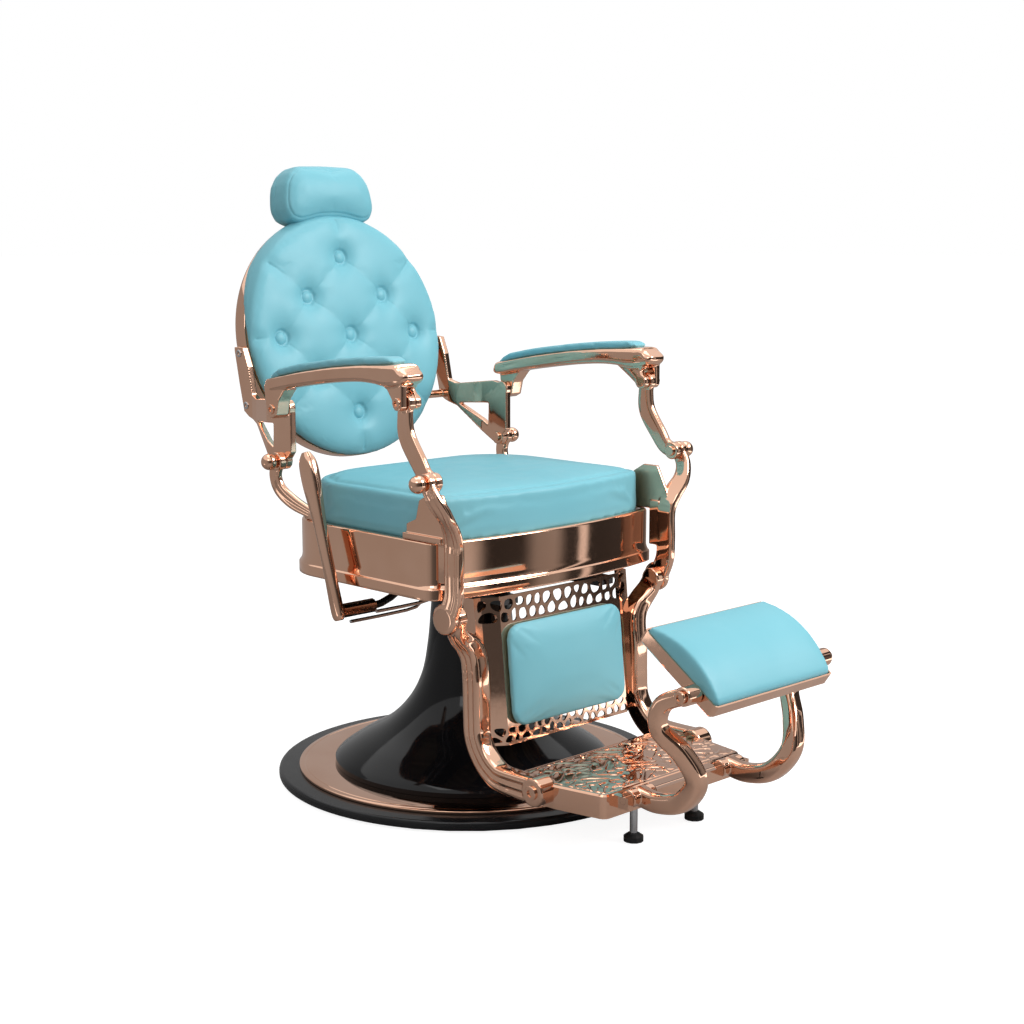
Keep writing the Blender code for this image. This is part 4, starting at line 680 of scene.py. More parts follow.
def tuftDepth(spot):
    dip = 0.0
    for place in buttons:
        gap = (spot - place).length
        dip = max(dip, b["tuft"] * math.exp(-(gap / b["tuftSize"]) ** 1.5))
    for start, end in folds:
        gap, share = lineGap(spot, start, end)
        near = b["foldMiddle"] + (1.0 - b["foldMiddle"]) * abs(2.0 * share - 1.0)  # shallowest half way
        dip = max(dip, b["fold"] * near * bell(gap, b["foldSize"]))
    return dip


def creaseDepth(spot):
    dip = 0.0
    for start, end in folds:
        gap, share = lineGap(spot, start, end)
        if gap < b["creaseSize"] * 3:
            near = max(0.0, abs(2.0 * share - 1.0) - b["creaseGap"])
            dip = max(dip, b["crease"] * near * bell(gap, b["creaseSize"]))
    for place in buttons:
        gap = (spot - place).length - buttonSet["radius"] - buttonSet["seat"]
        dip = max(dip, b["crease"] * bell(gap, b["creaseSize"]))
    return dip


def backPinned(point):
    local = backInverse @ point
    if local.y > b["pinnedFrom"]:
        return 1.0
    spot = flatSpot(local)
    if any((spot - place).length < b["pinnedButton"] for place in buttons):
        return 1.0
    if any(lineGap(spot, start, end)[0] < b["pinnedFold"] for start, end in folds):
        return b["foldHold"]
    return 0.0


def wrapRim(bm):
    # the upper rim wraps over the shell's edge
    for vert in bm.verts:
        local = backInverse @ vert.co
        out = flatSpot(local).length
        if local.y > b["wrapFrom"] and out > b["wrapInner"]:
            share = clamp((local.z / out - b["wrapStart"]) / b["wrapSpan"])
            share *= min(1.0, (out - b["wrapInner"]) / (b["wrapOuter"] - b["wrapInner"]))
            share *= min(1.0, (local.y - b["wrapFrom"]) / (b["rest"] - b["wrapFrom"]))
            local.y += b["wrap"] * share
            local.x *= 1.0 + b["wrapOut"] * share
            local.z *= 1.0 + b["wrapOut"] * share
            vert.co = backPlace @ local


profile = [(0.0, b["rest"]), (b["wrapInner"], b["rest"])]
profile += [(b["radius"] + out, depth) for out, depth in b["rim"]]
for k in range(b["rings"] + 1):
    share = 1.0 - k / b["rings"]
    bulge = (b["crown"] - b["shoulder"]) * (1.0 - share ** 2)
    profile.append(((b["radius"] - b["flat"]) * share, -b["shoulder"] - bulge))
bm = spinProfile(bmesh.new(), profile, b["steps"], turnBack)
bm.normal_update()
bmesh.ops.subdivide_edges(bm, edges=bm.edges, cuts=1, use_grid_fill=True)
wrapRim(bm)
bmesh.ops.recalc_face_normals(bm, faces=bm.faces)
holder = holderOf("backRaw", bm)
fuse(holder, b["voxel"])
bm = bmeshOf(settled(holder))
for vert in bm.verts:
    local = backInverse @ vert.co
    if local.y < 0.0:
        vert.co += rearward * tuftDepth(flatSpot(local)) * clamp(-local.y / b["tuftFade"])
bm = puff(bm, b["voxel"], b["cap"], backPinned)
for vert in bm.verts:
    local = backInverse @ vert.co
    if local.y <= b["creaseFrom"]:
        vert.co += rearward * creaseDepth(flatSpot(local))
addCushion("backCushion", bm, "back", "back_cushion")

s = buttonSet
profile = [(0.0, s["height"])]
for k in range(1, s["rings"] + 1):
    turn = math.pi / 2 * k / s["rings"]
    profile.append((s["radius"] * math.sin(turn), s["height"] * math.cos(turn)))
profile += [(s["radius"], -s["root"]), (0.0, -s["root"])]
bm = bmesh.new()
for spot in buttons:
    depth = -b["crown"] + (b["crown"] - b["shoulder"]) * (spot.length / b["radius"]) ** 2 + b["tuft"]
    place = backPlace @ Matrix.Translation((spot.x, depth - s["sink"], spot.y))
    addTurned(bm, profile, s["steps"], place @ Matrix.Rotation(math.radians(90), 4, "X"))
addPiece("backButtons", bm, "back", "vinyl", (), s["sharp"])
print("stage: back cushion")

shellSet = {"radius": 0.229, "front": 0.006, "rear": 0.042, "edge": 0.012, "edgeSteps": 8, "wall": 0.003,
            "ring": 0.186, "ringWidth": 0.012, "ringSteps": 8, "press": 0.0016, "lip": 0.0012, "lipSteps": 3,
            "steps": 160}
s = shellSet
inner = s["radius"] - s["wall"]
innerRear = s["rear"] - s["wall"]
corners = [(0.0, s["rear"]), (s["radius"], s["rear"]), (s["radius"], s["front"]), (inner, s["front"]),
           (inner, innerRear), (0.0, innerRear)]
chain = [Vector(corners[0])]
for k in range(s["ringSteps"] + 1):
    share = k / s["ringSteps"]
    pressed = s["press"] * math.sin(math.pi * share) ** 2
    chain.append(Vector((s["ring"] + s["ringWidth"] * share, s["rear"] - pressed)))
chain += roundedChain(corners[:3], s["edge"], s["edgeSteps"])[1:-1]
chain += roundedChain(corners[1:5], s["lip"], s["lipSteps"])[1:-1]
chain += [Vector((s["radius"] - s["edge"], innerRear)), Vector(corners[5])]
bm = spinProfile(bmesh.new(), chain, s["steps"], turnBack)
addPiece("backShell", bm, "back", "rose_gold", ("back_shell",))

pillowSet = {"shift": (0.0, 0.007, -0.008), "taller": 1.10, "voxel": 0.004, "cap": 0.005, "pinnedFrom": 0.040,
             "seams": (-0.014, 0.020), "depth": 0.0012, "width": 0.0016, "middle": 0.266, "tall": 0.054,
             "half": 0.106, "unsag": 0.0125, "taper": 0.09}
s = pillowSet
bm = nodeCopy("headrest_cushion")
for vert in bm.verts:
    local = backInverse @ vert.co
    share = (local.z - s["middle"]) / s["tall"]
    local.z -= s["unsag"] * max(0.0, -share) * (1.0 - (local.x / s["half"]) ** 2)
    local.x *= 1.0 - s["taper"] * share
    vert.co = backPlace @ local
bm = puff(bm, s["voxel"], s["cap"], lambda p: 1.0 if (backInverse @ p).y > s["pinnedFrom"] else 0.0)
for seam in s["seams"]:
    sew(bm, lambda p: (backInverse @ p).y - seam, s["depth"], s["width"])
foot = Matrix.Translation((0, 0, min((backInverse @ vert.co).z for vert in bm.verts)))
grow = foot @ Matrix.Diagonal((1, 1, s["taller"], 1)) @ foot.inverted()
bmesh.ops.transform(bm, matrix=backPlace @ grow @ backInverse, verts=bm.verts)
bmesh.ops.translate(bm, vec=s["shift"], verts=bm.verts)
addCushion("headrestPillow", bm, "headrest", "headrest_cushion")

armSet = {"front": -0.174, "rear": 0.208, "frontTop": 0.768, "rearTop": 0.722, "fall": 1.8, "middle": 0.293,
          "toe": 0.018, "section": (5, 56, 4.0),
          "rows": ((-0.004, 0.0185, 0.0105), (0.012, 0.0255, 0.0165), (0.06, 0.0275, 0.0190),
                   (0.12, 0.0275, 0.0188), (0.20, 0.0270, 0.0165), (0.32, 0.0262, 0.0148),
                   (0.50, 0.0258, 0.0142), (0.70, 0.0252, 0.0138), (0.85, 0.0246, 0.0132),
                   (0.97, 0.0235, 0.0125), (1.0, 0.018, 0.009)),  # share of length, half width and depth
          "hook": ((0.206, 0.711), (0.202, 0.679), (0.198, 0.659), (0.186, 0.6545), (0.1725, 0.661),
                   (0.166, 0.687), (0.148, 0.707), (0.111, 0.719)),
          "lug": ((-0.110, 0.740), (-0.138, 0.726), (-0.1495, 0.710), (-0.1515, 0.699), (-0.157, 0.6935),
                  (-0.167, 0.6935), (-0.1725, 0.699), (-0.1725, 0.736)),
          "neck": ((0.2762, -0.118, 0.746, 0.0068, 0.0200), (0.2762, -0.142, 0.726, 0.0068, 0.0165),
                   (0.2762, -0.162, 0.706, 0.0068, 0.0120)),
          "collar": ((0.2908, -0.149, 0.750, 0.0225, 0.0200), (0.2908, -0.153, 0.738, 0.0215, 0.0175),
                     (0.2908, -0.157, 0.7265, 0.0205, 0.0120)),
          "neckSection": (6, 40, 3.0), "collarSection": (6, 40, 3.6), "hookX": (0.2705, 0.2985),
          "lugX": (0.2987, 0.3123), "eye": (0.2694, 0.2830, -0.162, 0.706, 0.0130)}


def armShare(y):
    return (y - armSet["front"]) / (armSet["rear"] - armSet["front"])


def armTop(share):
    drop = armSet["rearTop"] - armSet["frontTop"]
    return armSet["frontTop"] + drop * max(0.0, share) ** armSet["fall"]


padSet = {"voxel": 0.004, "cap": 0.004, "hold": 0.35, "thicker": 1.46, "sink": 0.0046, "step": 0.02,
          "ends": 0.035, "endFall": 0.5}
s = padSet
for side in ("left", "right"):
    bm = puff(nodeCopy("arm_pad_" + side), s["voxel"], s["cap"], lambda p: s["hold"])
    lows = {}
    for vert in bm.verts:
        station = round(vert.co.y / s["step"])
        lows[station] = min(lows.get(station, math.inf), vert.co.z)
    first = min(vert.co.y for vert in bm.verts) + s["ends"]
    last = max(vert.co.y for vert in bm.verts) - s["ends"]
    for vert in bm.verts:  # lays the pad along the casting's top
        inside = min(last, max(first, vert.co.y))
        station = math.floor(inside / s["step"])
        low = lows[station] + (lows[station + 1] - lows[station]) * (inside / s["step"] - station)
        rest = armTop(armShare(inside))
        fall = armTop(armShare(vert.co.y)) - rest
        vert.co.z = rest + fall * s["endFall"] - s["sink"] + (vert.co.z - low) * s["thicker"]
    addCushion("armPad" + side.title(), bm, "arm_" + side, "arm_pad_" + side)

calfSet = {"voxel": 0.0045, "cap": 0.0025, "pinned": 0.010, "wider": 1.05, "flatter": 0.75, "shift": -0.003,
           "restY": -0.226, "restZ": 0.378, "lean": 0.1}


def calfRest(z):
    return calfSet["restY"] - (calfSet["restZ"] - z) * calfSet["lean"]


s = calfSet
bm = puff(nodeCopy("calf_pad"), s["voxel"], s["cap"],
          lambda p: 1.0 if p.y > calfRest(p.z) - s["pinned"] else 0.0)
for vert in bm.verts:
    rest = calfRest(vert.co.z)
    vert.co.x = vert.co.x * s["wider"] + s["shift"]
    vert.co.y = rest + (vert.co.y - rest) * s["flatter"]
addCushion("calfPad", bm, "legrest", "calf_pad")

footSet = {"voxel": 0.0045, "cap": 0.004, "hold": 0.25}
bm = puff(nodeCopy("foot_pad"), footSet["voxel"], footSet["cap"], lambda p: footSet["hold"])
addCushion("footPad", bm, "pan", "foot_pad")
print("stage: cushions")


# castings: bars as (section, rows), plates as (outline, x from, x to), eyes as a drum's sizes

postSet = {"bars": (((8, 72, 4.0, (-0.55, -0.12, 0.30, 0.70), 0.26, 0.10),
                     ((0.3055, -0.2245, 0.584, 0.0068, 0.0135), (0.3036, -0.238, 0.560, 0.0070, 0.0150),
                      (0.2898, -0.245, 0.535, 0.0078, 0.0172), (0.2700, -0.241, 0.508, 0.0080, 0.0182),
                      (0.2595, -0.237, 0.480, 0.0080, 0.0185), (0.2595, -0.237, 0.430, 0.0080, 0.0185),
                      (0.2595, -0.235, 0.392, 0.0080, 0.0185), (0.2595, -0.219, 0.356, 0.0080, 0.0190))),),
           "eyes": ((0.2985, 0.3125, -0.2245, 0.584, 0.016), (0.2515, 0.2675, -0.216, 0.357, 0.0265, 0.0065)),
           "plates": ((((-0.126, 0.4793), (-0.127, 0.5040), (-0.150, 0.5140), (-0.158, 0.5450),
                        (-0.182, 0.5590), (-0.214, 0.5590), (-0.2340, 0.5200), (-0.2480, 0.4793)),
                       0.2585, 0.2645),
                      (((-0.122, 0.4793), (-0.122, 0.4900), (-0.215, 0.4900), (-0.215, 0.4793)),
                       0.2585, 0.2690),
                      (((-0.2245, 0.415), (-0.2022, 0.415), (-0.2022, 0.4953), (-0.2245, 0.4953)),
                       0.2520, 0.2631))}
rearSet = {"bars": (((8, 56, 3.6, (0.0,), 0.14, 0.34),
                     ((0.2775, 0.197, 0.578, 0.0066, 0.0135), (0.2775, 0.205, 0.552, 0.0066, 0.0135),
                      (0.2743, 0.196, 0.527, 0.0066, 0.0135), (0.2657, 0.170, 0.506, 0.0066, 0.0130),
                      (0.256, 0.129, 0.4893, 0.0060, 0.0095))),),
           "eyes": ((0.2705, 0.2845, 0.197, 0.578, 0.016),),
           "plates": ((((0.1125, 0.4793), (0.1455, 0.4793), (0.1455, 0.4893), (0.1125, 0.4893)),
                       0.2495, 0.2625),)}
linkSet = {"bars": (((8, 64, 4.0, (0.0,), 0.24, 0.42),
                     ((0.291, -0.162, 0.706, 0.0066, 0.0140), (0.291, -0.158, 0.686, 0.0066, 0.0150),
                      (0.291, -0.162, 0.652, 0.0066, 0.0172), (0.291, -0.190, 0.612, 0.0066, 0.0165),
                      (0.291, -0.2055, 0.5925, 0.0066, 0.0148), (0.291, -0.2245, 0.584, 0.0066, 0.0140))),),
           "eyes": ((0.284, 0.298, -0.162, 0.706, 0.0155), (0.284, 0.298, -0.2245, 0.584, 0.0155),
                    (0.2845, 0.3122, -0.162, 0.706, 0.005, 0.0)),
           "plates": ()}
legSet = {"bars": (((8, 80, 4.4, (-0.30, 0.34), 0.20, 0.13),
                    ((0.2420, -0.222, 0.356, 0.0085, 0.0190), (0.2375, -0.216, 0.338, 0.0110, 0.0195),
                     (0.2220, -0.212, 0.3195, 0.0150, 0.0195), (0.2050, -0.2130, 0.3020, 0.0175, 0.0195),
                     (0.1970, -0.2165, 0.280, 0.0178, 0.0195), (0.1965, -0.2205, 0.240, 0.0180, 0.0195),
                     (0.1965, -0.2215, 0.190, 0.0180, 0.0195), (0.1965, -0.2245, 0.150, 0.0180, 0.0195),
                     (0.1965, -0.240, 0.121, 0.0180, 0.0200), (0.1965, -0.262, 0.101, 0.0180, 0.0205),
                     (0.1965, -0.290, 0.0915, 0.0180, 0.0210), (0.1965, -0.366, 0.0905, 0.0180, 0.0220))),),
          "eyes": ((0.233, 0.251, -0.222, 0.356, 0.019), (0.1790, 0.2142, -0.366, 0.0905, 0.0235, 0.003),
                   (0.2335, 0.2638, -0.222, 0.356, 0.005, 0.0)),
          "plates": ()}
forkSet = {"bars": (((8, 56, 3.6),
                     ((0.112, -0.502, 0.097, 0.0135, 0.0150), (0.112, -0.546, 0.093, 0.0138, 0.0158),
                      (0.113, -0.596, 0.108, 0.0142, 0.0168), (0.120, -0.627, 0.149, 0.0142, 0.0165),
                      (0.140, -0.614, 0.194, 0.0140, 0.0155), (0.1637, -0.588, 0.232, 0.0132, 0.0140),
                      (0.1657, -0.598, 0.273, 0.0130, 0.0135), (0.1637, -0.649, 0.296, 0.0130, 0.0135))),),
           "eyes": ((0.0845, 0.1395, -0.506, 0.096, 0.0145), (0.1485, 0.180, -0.645, 0.295, 0.015)),
           "plates": ()}
a = armSet
armRows = [(a["middle"] - a["toe"] * share, a["front"] + (a["rear"] - a["front"]) * share,
            armTop(share) - deep, wide, deep) for share, wide, deep in a["rows"]]
armParts = {"bars": ((a["section"], armRows), (a["neckSection"], a["neck"]),
                     (a["collarSection"], a["collar"])),
            "eyes": (a["eye"],), "plates": ((a["hook"], *a["hookX"]), (a["lug"], *a["lugX"]))}
leverSet = {"x": -0.2985, "pivot": (0.012, 0.340), "top": (0.092, 0.606), "section": (8, 48, 2.6),
            "rows": ((-0.055, 0.0055, 0.0085), (0.0, 0.0078, 0.0138), (0.25, 0.0078, 0.0122),
                     (0.5, 0.0082, 0.0126), (0.64, 0.0098, 0.0152), (0.80, 0.0125, 0.0190),
                     (0.93, 0.0118, 0.0172), (0.995, 0.0055, 0.0080)), "voxel": 0.0010, "passes": 8}
bracketSet = {"window": ((0.2900, 0.6390), (0.2215, 0.6420), (0.2225, 0.5990)), "windowX": (0.20, 0.30),
              "voxel": 0.0010, "passes": 16}
castings = {  # settings, body, node, voxel size and smoothing passes
    "frontPost": (postSet, "seat", "front_post", 0.0011, 9),
    "rearPost": (rearSet, "seat", "rear_post", 0.0012, 6),
    "armLink": (linkSet, "link_{}", "arm_link", 0.0012, 6),
    "legCasting": (legSet, "legrest", "leg_frame", 0.0012, 6),
    "forkArm": (forkSet, "fork", "fork_arm", 0.0012, 6),
    "armCasting": (armParts, "arm_{}", "arm_frame", 0.0014, 9),
}


def castingOf(parts):
    bm = bmesh.new()
    for section, rows in parts["bars"]:
        sweepBar(bm, rows, *section)
    for eye in parts["eyes"]:
        drum(bm, *eye)
    for plate in parts["plates"]:
        prism(bm, *plate)
    return bm


for name, (parts, body, node, voxel, passes) in castings.items():
    addPair(name, castingOf(parts), body, node, voxel, passes)

s = bracketSet
bm = bmesh.new()
prism(bm, s["window"], *s["windowX"])
bracketCut = cuttingBlock("bracketCut", bm)
bm = nodeCopy("back_bracket_left")
addPair("backBracket", bm, "back", "back_bracket", s["voxel"], s["passes"], bracketCut)
drop(bracketCut)

s = leverSet
pivot, top = Vector((s["x"], *s["pivot"])), Vector((s["x"], *s["top"]))
bm = bmesh.new()
sweepBar(bm, [(*pivot.lerp(top, share), wide, deep) for share, wide, deep in s["rows"]], *s["section"])
lever = castMesh("pumpLever", bm, s["voxel"], s["passes"])
addMesh("pumpLever", lever, "lever", "rose_gold", ("pump_lever",))
print("stage: castings")


# ball-headed pins, screws and small fittings, all turned about X

sides = ((1, "left"), (-1, "right"))


def turnedX(bm, profile, y, z, side, steps):
    # profile as (radius, distance outward)
    place = Matrix.Translation((0.0, y, z)) @ Matrix.Rotation(math.radians(90 * side), 4, "Y")
    addTurned(bm, profile, steps, place)


pinSet = {"pin": 0.005, "ball": 0.0146, "stand": 0.0118, "head": 0.009, "headHeight": 0.004, "edge": 0.001,
          "collar": 0.0078, "collarHeight": 0.0012, "ballFrom": 0.0026, "rings": 24, "steps": 40,
          "link": ((-0.2245, 0.584), 0.2837, 0.3128), "back": ((0.197, 0.578), 0.2557, 0.2848)}
s = pinSet
for kind in ("link", "back"):
    (y, z), head, face = s[kind]
    end = head - s["headHeight"]
    profile = [(0.0, end), (s["head"] - s["edge"], end), (s["head"], end + s["edge"]), (s["head"], head),
               (s["pin"], head), (s["pin"], face), (s["collar"], face),
               (s["collar"], face + s["collarHeight"])]
    for k in range(s["rings"] + 1):
        turn = math.pi * (1.0 - k / s["rings"])
        out = s["stand"] + s["ball"] * math.cos(turn)
        if out > s["ballFrom"]:
            profile.append((s["ball"] * math.sin(turn), face + out))
    for side, word in sides:
        bm = bmesh.new()
        turnedX(bm, profile, y, z, side, s["steps"])
        addPiece(kind + "Pin" + word.title(), bm, "seat", "rose_gold", (kind + "_pin_" + word,))

screwSet = {"root": 0.001, "lip": 0.0009, "rise": 0.0008, "socket": 0.52, "socketEnd": 0.92, "deep": 0.0020,
            "steps": 24, "sharp": 25}
screws = {  # body, slot, and each screw's x, y, z, radius and height
    "legBolts": ("legrest", "rose_gold", ((0.2141, -0.366, 0.0905, 0.0118, 0.0030),)),
    "panBolts": ("pan", "rose_gold", ((0.1842, -0.645, 0.295, 0.0100, 0.0018),)),
    "backScrews": ("back", "bright_steel", ((0.2458, 0.3489, 0.757, 0.0068, 0.0014),
                                            (0.2458, 0.3305, 0.664, 0.0068, 0.0014))),
    "hookBolt{}": ("arm_{}", "rose_gold", ((0.2984, 0.186, 0.671, 0.0085, 0.0016),)),
    "lugBolt{}": ("arm_{}", "rose_gold", ((0.3124, -0.162, 0.706, 0.0088, 0.0018),)),
}


def addScrew(bm, side, x, y, z, radius, height):
    s = screwSet
    hole = radius * s["socket"]
    crest = height + s["rise"]
    floor = height - s["deep"]
    profile = [(0.0, -s["root"]), (radius, -s["root"]), (radius, height), (radius - s["lip"], crest),
               (hole, crest), (hole * s["socketEnd"], floor), (0.0, floor)]
    turnedX(bm, [(r, x + out) for r, out in profile], y, z, side, s["steps"])


for name, (body, slotName, spots) in screws.items():
    groups = [(side,) for side in sides] if "{}" in name else [sides]
    for group in groups:
        bm = bmesh.new()
        for side, word in group:
            for spot in spots:
                addScrew(bm, side, *spot)
        addPiece(name.format(word.title()), bm, body.format(word), slotName, (), screwSet["sharp"])

# leg-rest panel with its pierced bands: limits, row heights, pitch, stray in x and z, and gap
panelSet = {"top": (-0.223, 0.378), "low": (-0.248, 0.130), "reach": 0.030, "seed": 11, "half": 0.181,
            "starts": (0.8, 0.3), "near": 0.06, "edge": 0.0005, "edgeSteps": 2, "edgeAngle": 35, "sharp": 40,
            "bands": (((0.3345, 0.3725), (0.3440, 0.3630), 0.0235, (0.0062, 0.0045), 0.0056),
                      ((0.1345, 0.1590), (0.1405, 0.1530), 0.0205, (0.0055, 0.0030), 0.0046))}


def clipped(outline, point, normal):
    # what is left of a convex outline on the inner side of a line
    kept = []
    for here, after in zip(outline, outline[1:] + outline[:1]):
        a = (here - point).dot(normal)
        b = (after - point).dot(normal)
        if a <= 0.0:
            kept.append(here)
        if (a <= 0.0) != (b <= 0.0):
            kept.append(here + (after - here) * (a / (a - b)))
    return kept


def cornersCut(outline):
    softer = []
    for here, after in zip(outline, outline[1:] + outline[:1]):
        softer += [here * 0.75 + after * 0.25, here * 0.25 + after * 0.75]
    return softer


def pebbles(band, dice):
    # rounded cells between scattered points, a gap apart
    (low, high), heights, pitch, stray, gap = band
    half = panelSet["half"]
    spots = []
    for height, start in zip(heights, panelSet["starts"]):
        for k in range(int(2 * half / pitch)):
            x = -half + pitch * (k + start) + dice.uniform(-stray[0], stray[0])
            spots.append(Vector((x, height + dice.uniform(-stray[1], stray[1]))))
    for spot in spots:
        cell = [Vector((-half, low)), Vector((half, low)), Vector((half, high)), Vector((-half, high))]
        for other in spots:
            if other is not spot and (other - spot).length < panelSet["near"]:
                way = (other - spot).normalized()
                cell = clipped(cell, (spot + other) / 2 - way * gap / 2, way)
        if len(cell) > 2:
            yield cornersCut(cornersCut(cell))


s = panelSet
dice = random.Random(s["seed"])
(topY, topZ), (lowY, lowZ) = s["top"], s["low"]
bm = bmesh.new()
for band in s["bands"]:
    for cell in pebbles(band, dice):
        z = sum(spot.y for spot in cell) / len(cell)
        near = topY + (lowY - topY) * (topZ - z) / (topZ - lowZ) - s["reach"]
        face = bm.faces.new([bm.verts.new((spot.x, near, spot.y)) for spot in cell])
        pushFace(bm, face, (0, 2 * s["reach"], 0))
cutter = cuttingBlock("panelCuts", bm)
holder = holderOf("panelRaw", nodeCopy("calf_panel"))
pierce(holder, cutter)
roundEdges(holder, s["edge"], s["edgeSteps"], s["edgeAngle"])
bm = bmeshOf(settled(holder))
drop(cutter)
panel = addPiece("calfPanel", bm, "legrest", "rose_gold", ("calf_panel",), s["sharp"])
flat = panel.modifiers.new("flat", "WEIGHTED_NORMAL")
flat.keep_sharp = True
flat.weight = 100

# footplate's raised ornament: ridges between pebble-shaped hollows
plateSet = {"x": 0.181, "front": -0.478, "rear": -0.308, "taperY": -0.390, "frontX": 0.163, "low": 0.1020,
            "high": 0.1046, "cell": (40.0, 48.0), "wave": (0.6, 0.5), "waveTurns": (75, 62), "layer": 0.3,
            "ridge": 0.30, "ridgeHeight": 0.95, "edge": 0.006, "edgeRise": 3.0, "step": 0.0016,
            "smoothing": 2}
s = plateSet
long = s["rear"] - s["front"]
bm = bmesh.new()
bmesh.ops.create_grid(bm, x_segments=int(2 * s["x"] / s["step"]), y_segments=int(long / s["step"]), size=0.5)
place = Matrix.Translation((0, (s["front"] + s["rear"]) / 2, s["low"]))
bmesh.ops.transform(bm, matrix=place @ Matrix.Diagonal((2 * s["x"], long, 1, 1)), verts=bm.verts)
slope = (s["x"] - s["frontX"]) / (s["taperY"] - s["front"])
for side, word in sides:
    bmesh.ops.bisect_plane(bm, geom=bm.verts[:] + bm.edges[:] + bm.faces[:], clear_outer=True,
                           plane_co=(side * s["x"], s["taperY"], 0), plane_no=(side, -slope, 0))
for vert in bm.verts:
    x, y = vert.co.x, vert.co.y
    limit = s["x"] - max(0.0, s["taperY"] - y) * slope
    rim = min(limit - abs(x), y - s["front"], s["rear"] - y) / s["edge"]
    across = x * s["cell"][0] + s["wave"][0] * math.sin(y * s["waveTurns"][0])
    along = y * s["cell"][1] + s["wave"][1] * math.sin(x * s["waveTurns"][1])
    near = noise.voronoi(Vector((across, along, s["layer"])))[0]
    ridge = bell(near[1] - near[0], s["ridge"]) * s["ridgeHeight"]
    border = max(0.0, 1.0 - rim)
    vert.co.z = s["low"] + (s["high"] - s["low"]) * max(ridge, border) * clamp(rim * s["edgeRise"])
for turn in range(s["smoothing"]):
    bmesh.ops.smooth_vert(bm, verts=[v for v in bm.verts if not v.is_boundary], factor=0.5,
                          use_axis_x=False, use_axis_y=False, use_axis_z=True)
bmesh.ops.recalc_face_normals(bm, faces=bm.faces)
addPiece("plateOrnament", bm, "legrest", "rose_gold", (), 180)

# rounds the edges of plain plates that are carried over
edgeWidths = {"footplate": 0.0016, "foot_pan": 0.0016, "legrest_bar_left": 0.001, "legrest_bar_right": 0.001,
              "headrest_socket": 0.002, "headrest_bar": 0.001}
for name, width in edgeWidths.items():
    roundEdges(nodes[name], width, 3, 40)
print("stage: fittings and ornament")


# stage, light and camera

white = (1.0, 1.0, 1.0, 1.0)
worldSet = {"seen": 1.0, "light": 0.42}  # as the camera and reflections see it, and as it lights
world = bpy.data.worlds.new("studio")
scene.world = world
world.use_nodes = True
tree = world.node_tree
shades = [tree.nodes.new("ShaderNodeBackground"), tree.nodes["Background"]]
mix = tree.nodes.new("ShaderNodeMixShader")
for k, (shade, strength) in enumerate(zip(shades, (worldSet["light"], worldSet["seen"]))):
    shade.inputs["Color"].default_value = white
    shade.inputs["Strength"].default_value = strength
    tree.links.new(shade.outputs[0], mix.inputs[k + 1])
rays = tree.nodes.new("ShaderNodeLightPath")
visible = rays.outputs["Is Camera Ray"]
for kind in ("Is Glossy Ray", "Is Transmission Ray"):
    both = tree.nodes.new("ShaderNodeMath")
    both.operation = "ADD"
    both.use_clamp = True
    tree.links.new(visible, both.inputs[0])
    tree.links.new(rays.outputs[kind], both.inputs[1])
    visible = both.outputs[0]
tree.links.new(visible, mix.inputs[0])
tree.links.new(mix.outputs[0], tree.nodes["World Output"].inputs["Surface"])

floorSet = {"size": 60.0, "tone": 0.36, "roughness": 0.9, "glow": 0.90}
bm = bmesh.new()
bmesh.ops.create_grid(bm, x_segments=1, y_segments=1, size=floorSet["size"])
floor = holderOf("floor", bm)
pale = bpy.data.materials.new("paleFloor")
pale.use_nodes = True
tree = pale.node_tree
shader = tree.nodes["Principled BSDF"]
shader.inputs["Base Color"].default_value = (floorSet["tone"],) * 3 + (1.0,)
shader.inputs["Roughness"].default_value = floorSet["roughness"]
shader.inputs["Specular IOR Level"].default_value = 0.0
shader.inputs["Emission Color"].default_value = white
glow = tree.nodes.new("ShaderNodeMath")
glow.operation = "MULTIPLY"
glow.inputs[1].default_value = floorSet["glow"]
tree.links.new(tree.nodes.new("ShaderNodeLightPath").outputs["Is Camera Ray"], glow.inputs[0])
tree.links.new(glow.outputs[0], shader.inputs["Emission Strength"])
floor.data.materials.append(pale)

lampTarget = Vector((0, 0, 0.5))
lamps = {  # place, size and power
    "keyBox": ((1.6, -2.6, 2.4), (1.6, 1.6), 95),
    "fillBox": ((-2.4, -1.6, 1.8), (1.2, 1.8), 14),
    "topBox": ((0.2, 0.3, 3.2), (2.4, 2.4), 30),
}
for name, (place, size, power) in lamps.items():
    lamp = bpy.data.lights.new(name, "AREA")
    lamp.shape = "RECTANGLE"
    lamp.size, lamp.size_y = size
    lamp.energy = power
    holder = bpy.data.objects.new(name, lamp)
    holder.location = place
    holder.rotation_euler = (lampTarget - Vector(place)).to_track_quat("-Z", "Y").to_euler()
    scene.collection.objects.link(holder)

# a ring and two floor strips seen only in polished metal: tones by bearing, in degrees from +X
ringSet = {"radius": 2.3, "peak": 2.4, "low": -0.02, "high": 1.6, "sides": 96,
           "tones": ((-180, 0.36), (-158, 0.30), (-140, 0.12), (-112, 0.06), (-98, 0.03), (-82, 0.03),
                     (-78, 0.50), (-74, 0.50), (-70, 0.03), (-60, 0.04), (-56, 0.26), (-50, 0.30),
                     (-47, 0.04), (-43.5, 0.04), (-42.5, 0.80), (-40.5, 0.80), (-39.5, 0.03), (-16, 0.06),
                     (0, 0.22), (24, 0.42), (70, 0.42), (100, 0.36), (150, 0.36), (180, 0.36))}
strips = {  # place, size, turn and strength
    "frontStrip": ((0.9, -1.3, 0.004), (1.5, 0.5), 40, 2.4),
    "sideStrip": ((-1.7, 0.9, 0.004), (1.2, 0.4), 130, 1.4),
}


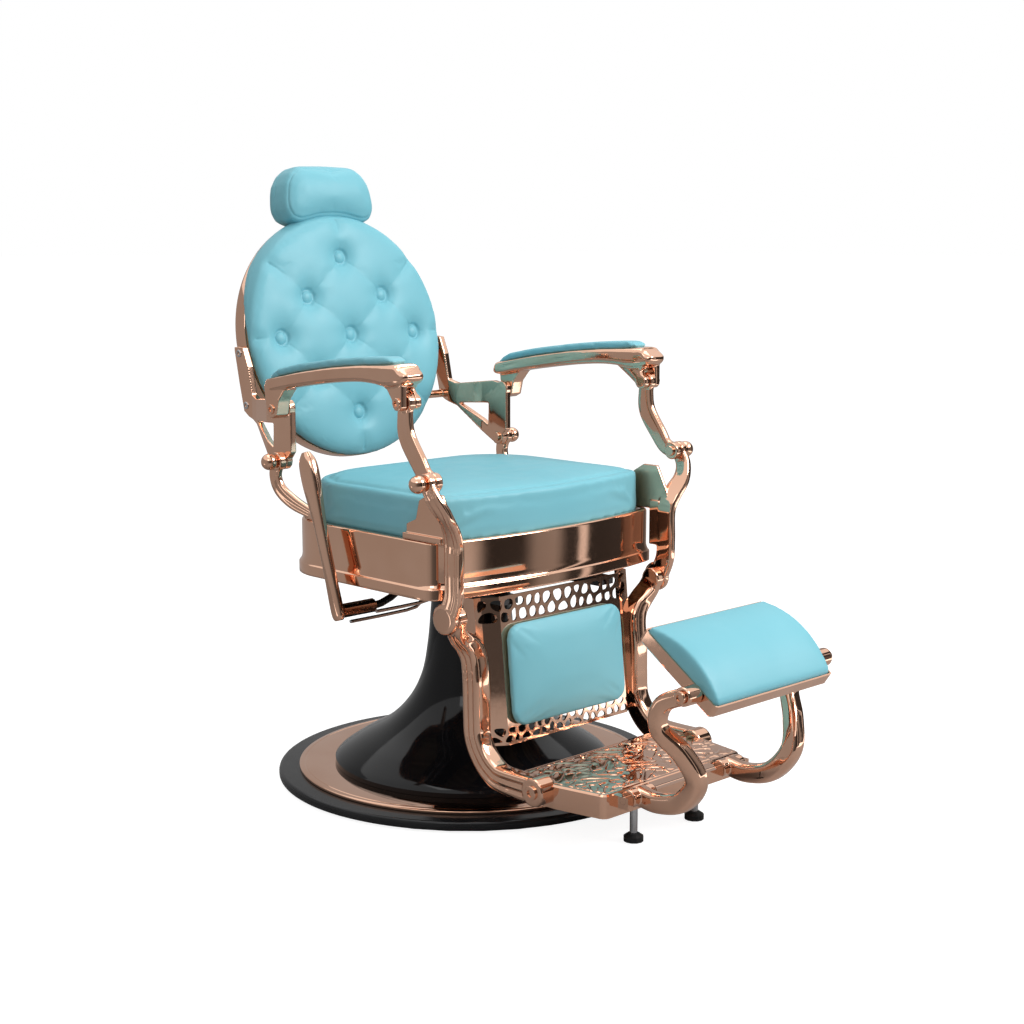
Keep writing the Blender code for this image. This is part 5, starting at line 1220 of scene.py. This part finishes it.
def addCard(name, bm, tones, strength):
    card = holderOf(name, bm)
    paint = bpy.data.materials.new(name)
    paint.use_nodes = True
    tree = paint.node_tree
    shader = tree.nodes["Principled BSDF"]
    shader.inputs["Base Color"].default_value = (0.0, 0.0, 0.0, 1.0)
    shader.inputs["Specular IOR Level"].default_value = 0.0
    shader.inputs["Emission Color"].default_value = white
    shader.inputs["Emission Strength"].default_value = strength
    if tones:
        bearing = tree.nodes.new("ShaderNodeTexGradient")
        bearing.gradient_type = "RADIAL"
        tree.links.new(tree.nodes.new("ShaderNodeTexCoord").outputs["Object"], bearing.inputs["Vector"])
        ramp = tree.nodes.new("ShaderNodeValToRGB")
        stops = ramp.color_ramp.elements
        while len(stops) < len(tones):
            stops.new(0.5)
        for stop, (angle, tone) in zip(stops, tones):
            stop.position = angle / 360 + 0.5
            stop.color = (tone / strength, tone / strength, tone / strength, 1.0)
        tree.links.new(bearing.outputs["Fac"], ramp.inputs["Fac"])
        tree.links.new(ramp.outputs["Color"], shader.inputs["Emission Color"])
    card.data.materials.append(paint)
    card.visible_camera = False
    card.visible_diffuse = False
    card.visible_shadow = False
    card.visible_transmission = False


s = ringSet
bm = bmesh.new()
bmesh.ops.create_cone(bm, cap_ends=False, segments=s["sides"], radius1=s["radius"], radius2=s["radius"],
                      depth=s["high"] - s["low"])
bmesh.ops.translate(bm, vec=(0, 0, (s["high"] + s["low"]) / 2), verts=bm.verts)
addCard("toneRing", bm, s["tones"], s["peak"])
for name, (place, size, angle, strength) in strips.items():
    bm = bmesh.new()
    bmesh.ops.create_grid(bm, x_segments=1, y_segments=1, size=0.5)
    place = Matrix.Translation(place) @ Matrix.Rotation(math.radians(angle), 4, "Z")
    bmesh.ops.transform(bm, matrix=place @ Matrix.Diagonal((*size, 1, 1)), verts=bm.verts)
    addCard(name, bm, (), strength)

cameraSet = {"place": (-2.124, -2.261, 0.975), "pitch": 9.092, "yaw": -44.571, "lens": 61.65, "sensor": 36.0}
eye = bpy.data.cameras.new("camera")
eye.lens = cameraSet["lens"]
eye.sensor_width = cameraSet["sensor"]
camera = bpy.data.objects.new("camera", eye)
camera.location = cameraSet["place"]
camera.rotation_euler = (math.radians(90 - cameraSet["pitch"]), 0.0, math.radians(cameraSet["yaw"]))
scene.collection.objects.link(camera)
scene.camera = camera
scene.view_settings.view_transform = "Standard"
print("stage: light and camera")
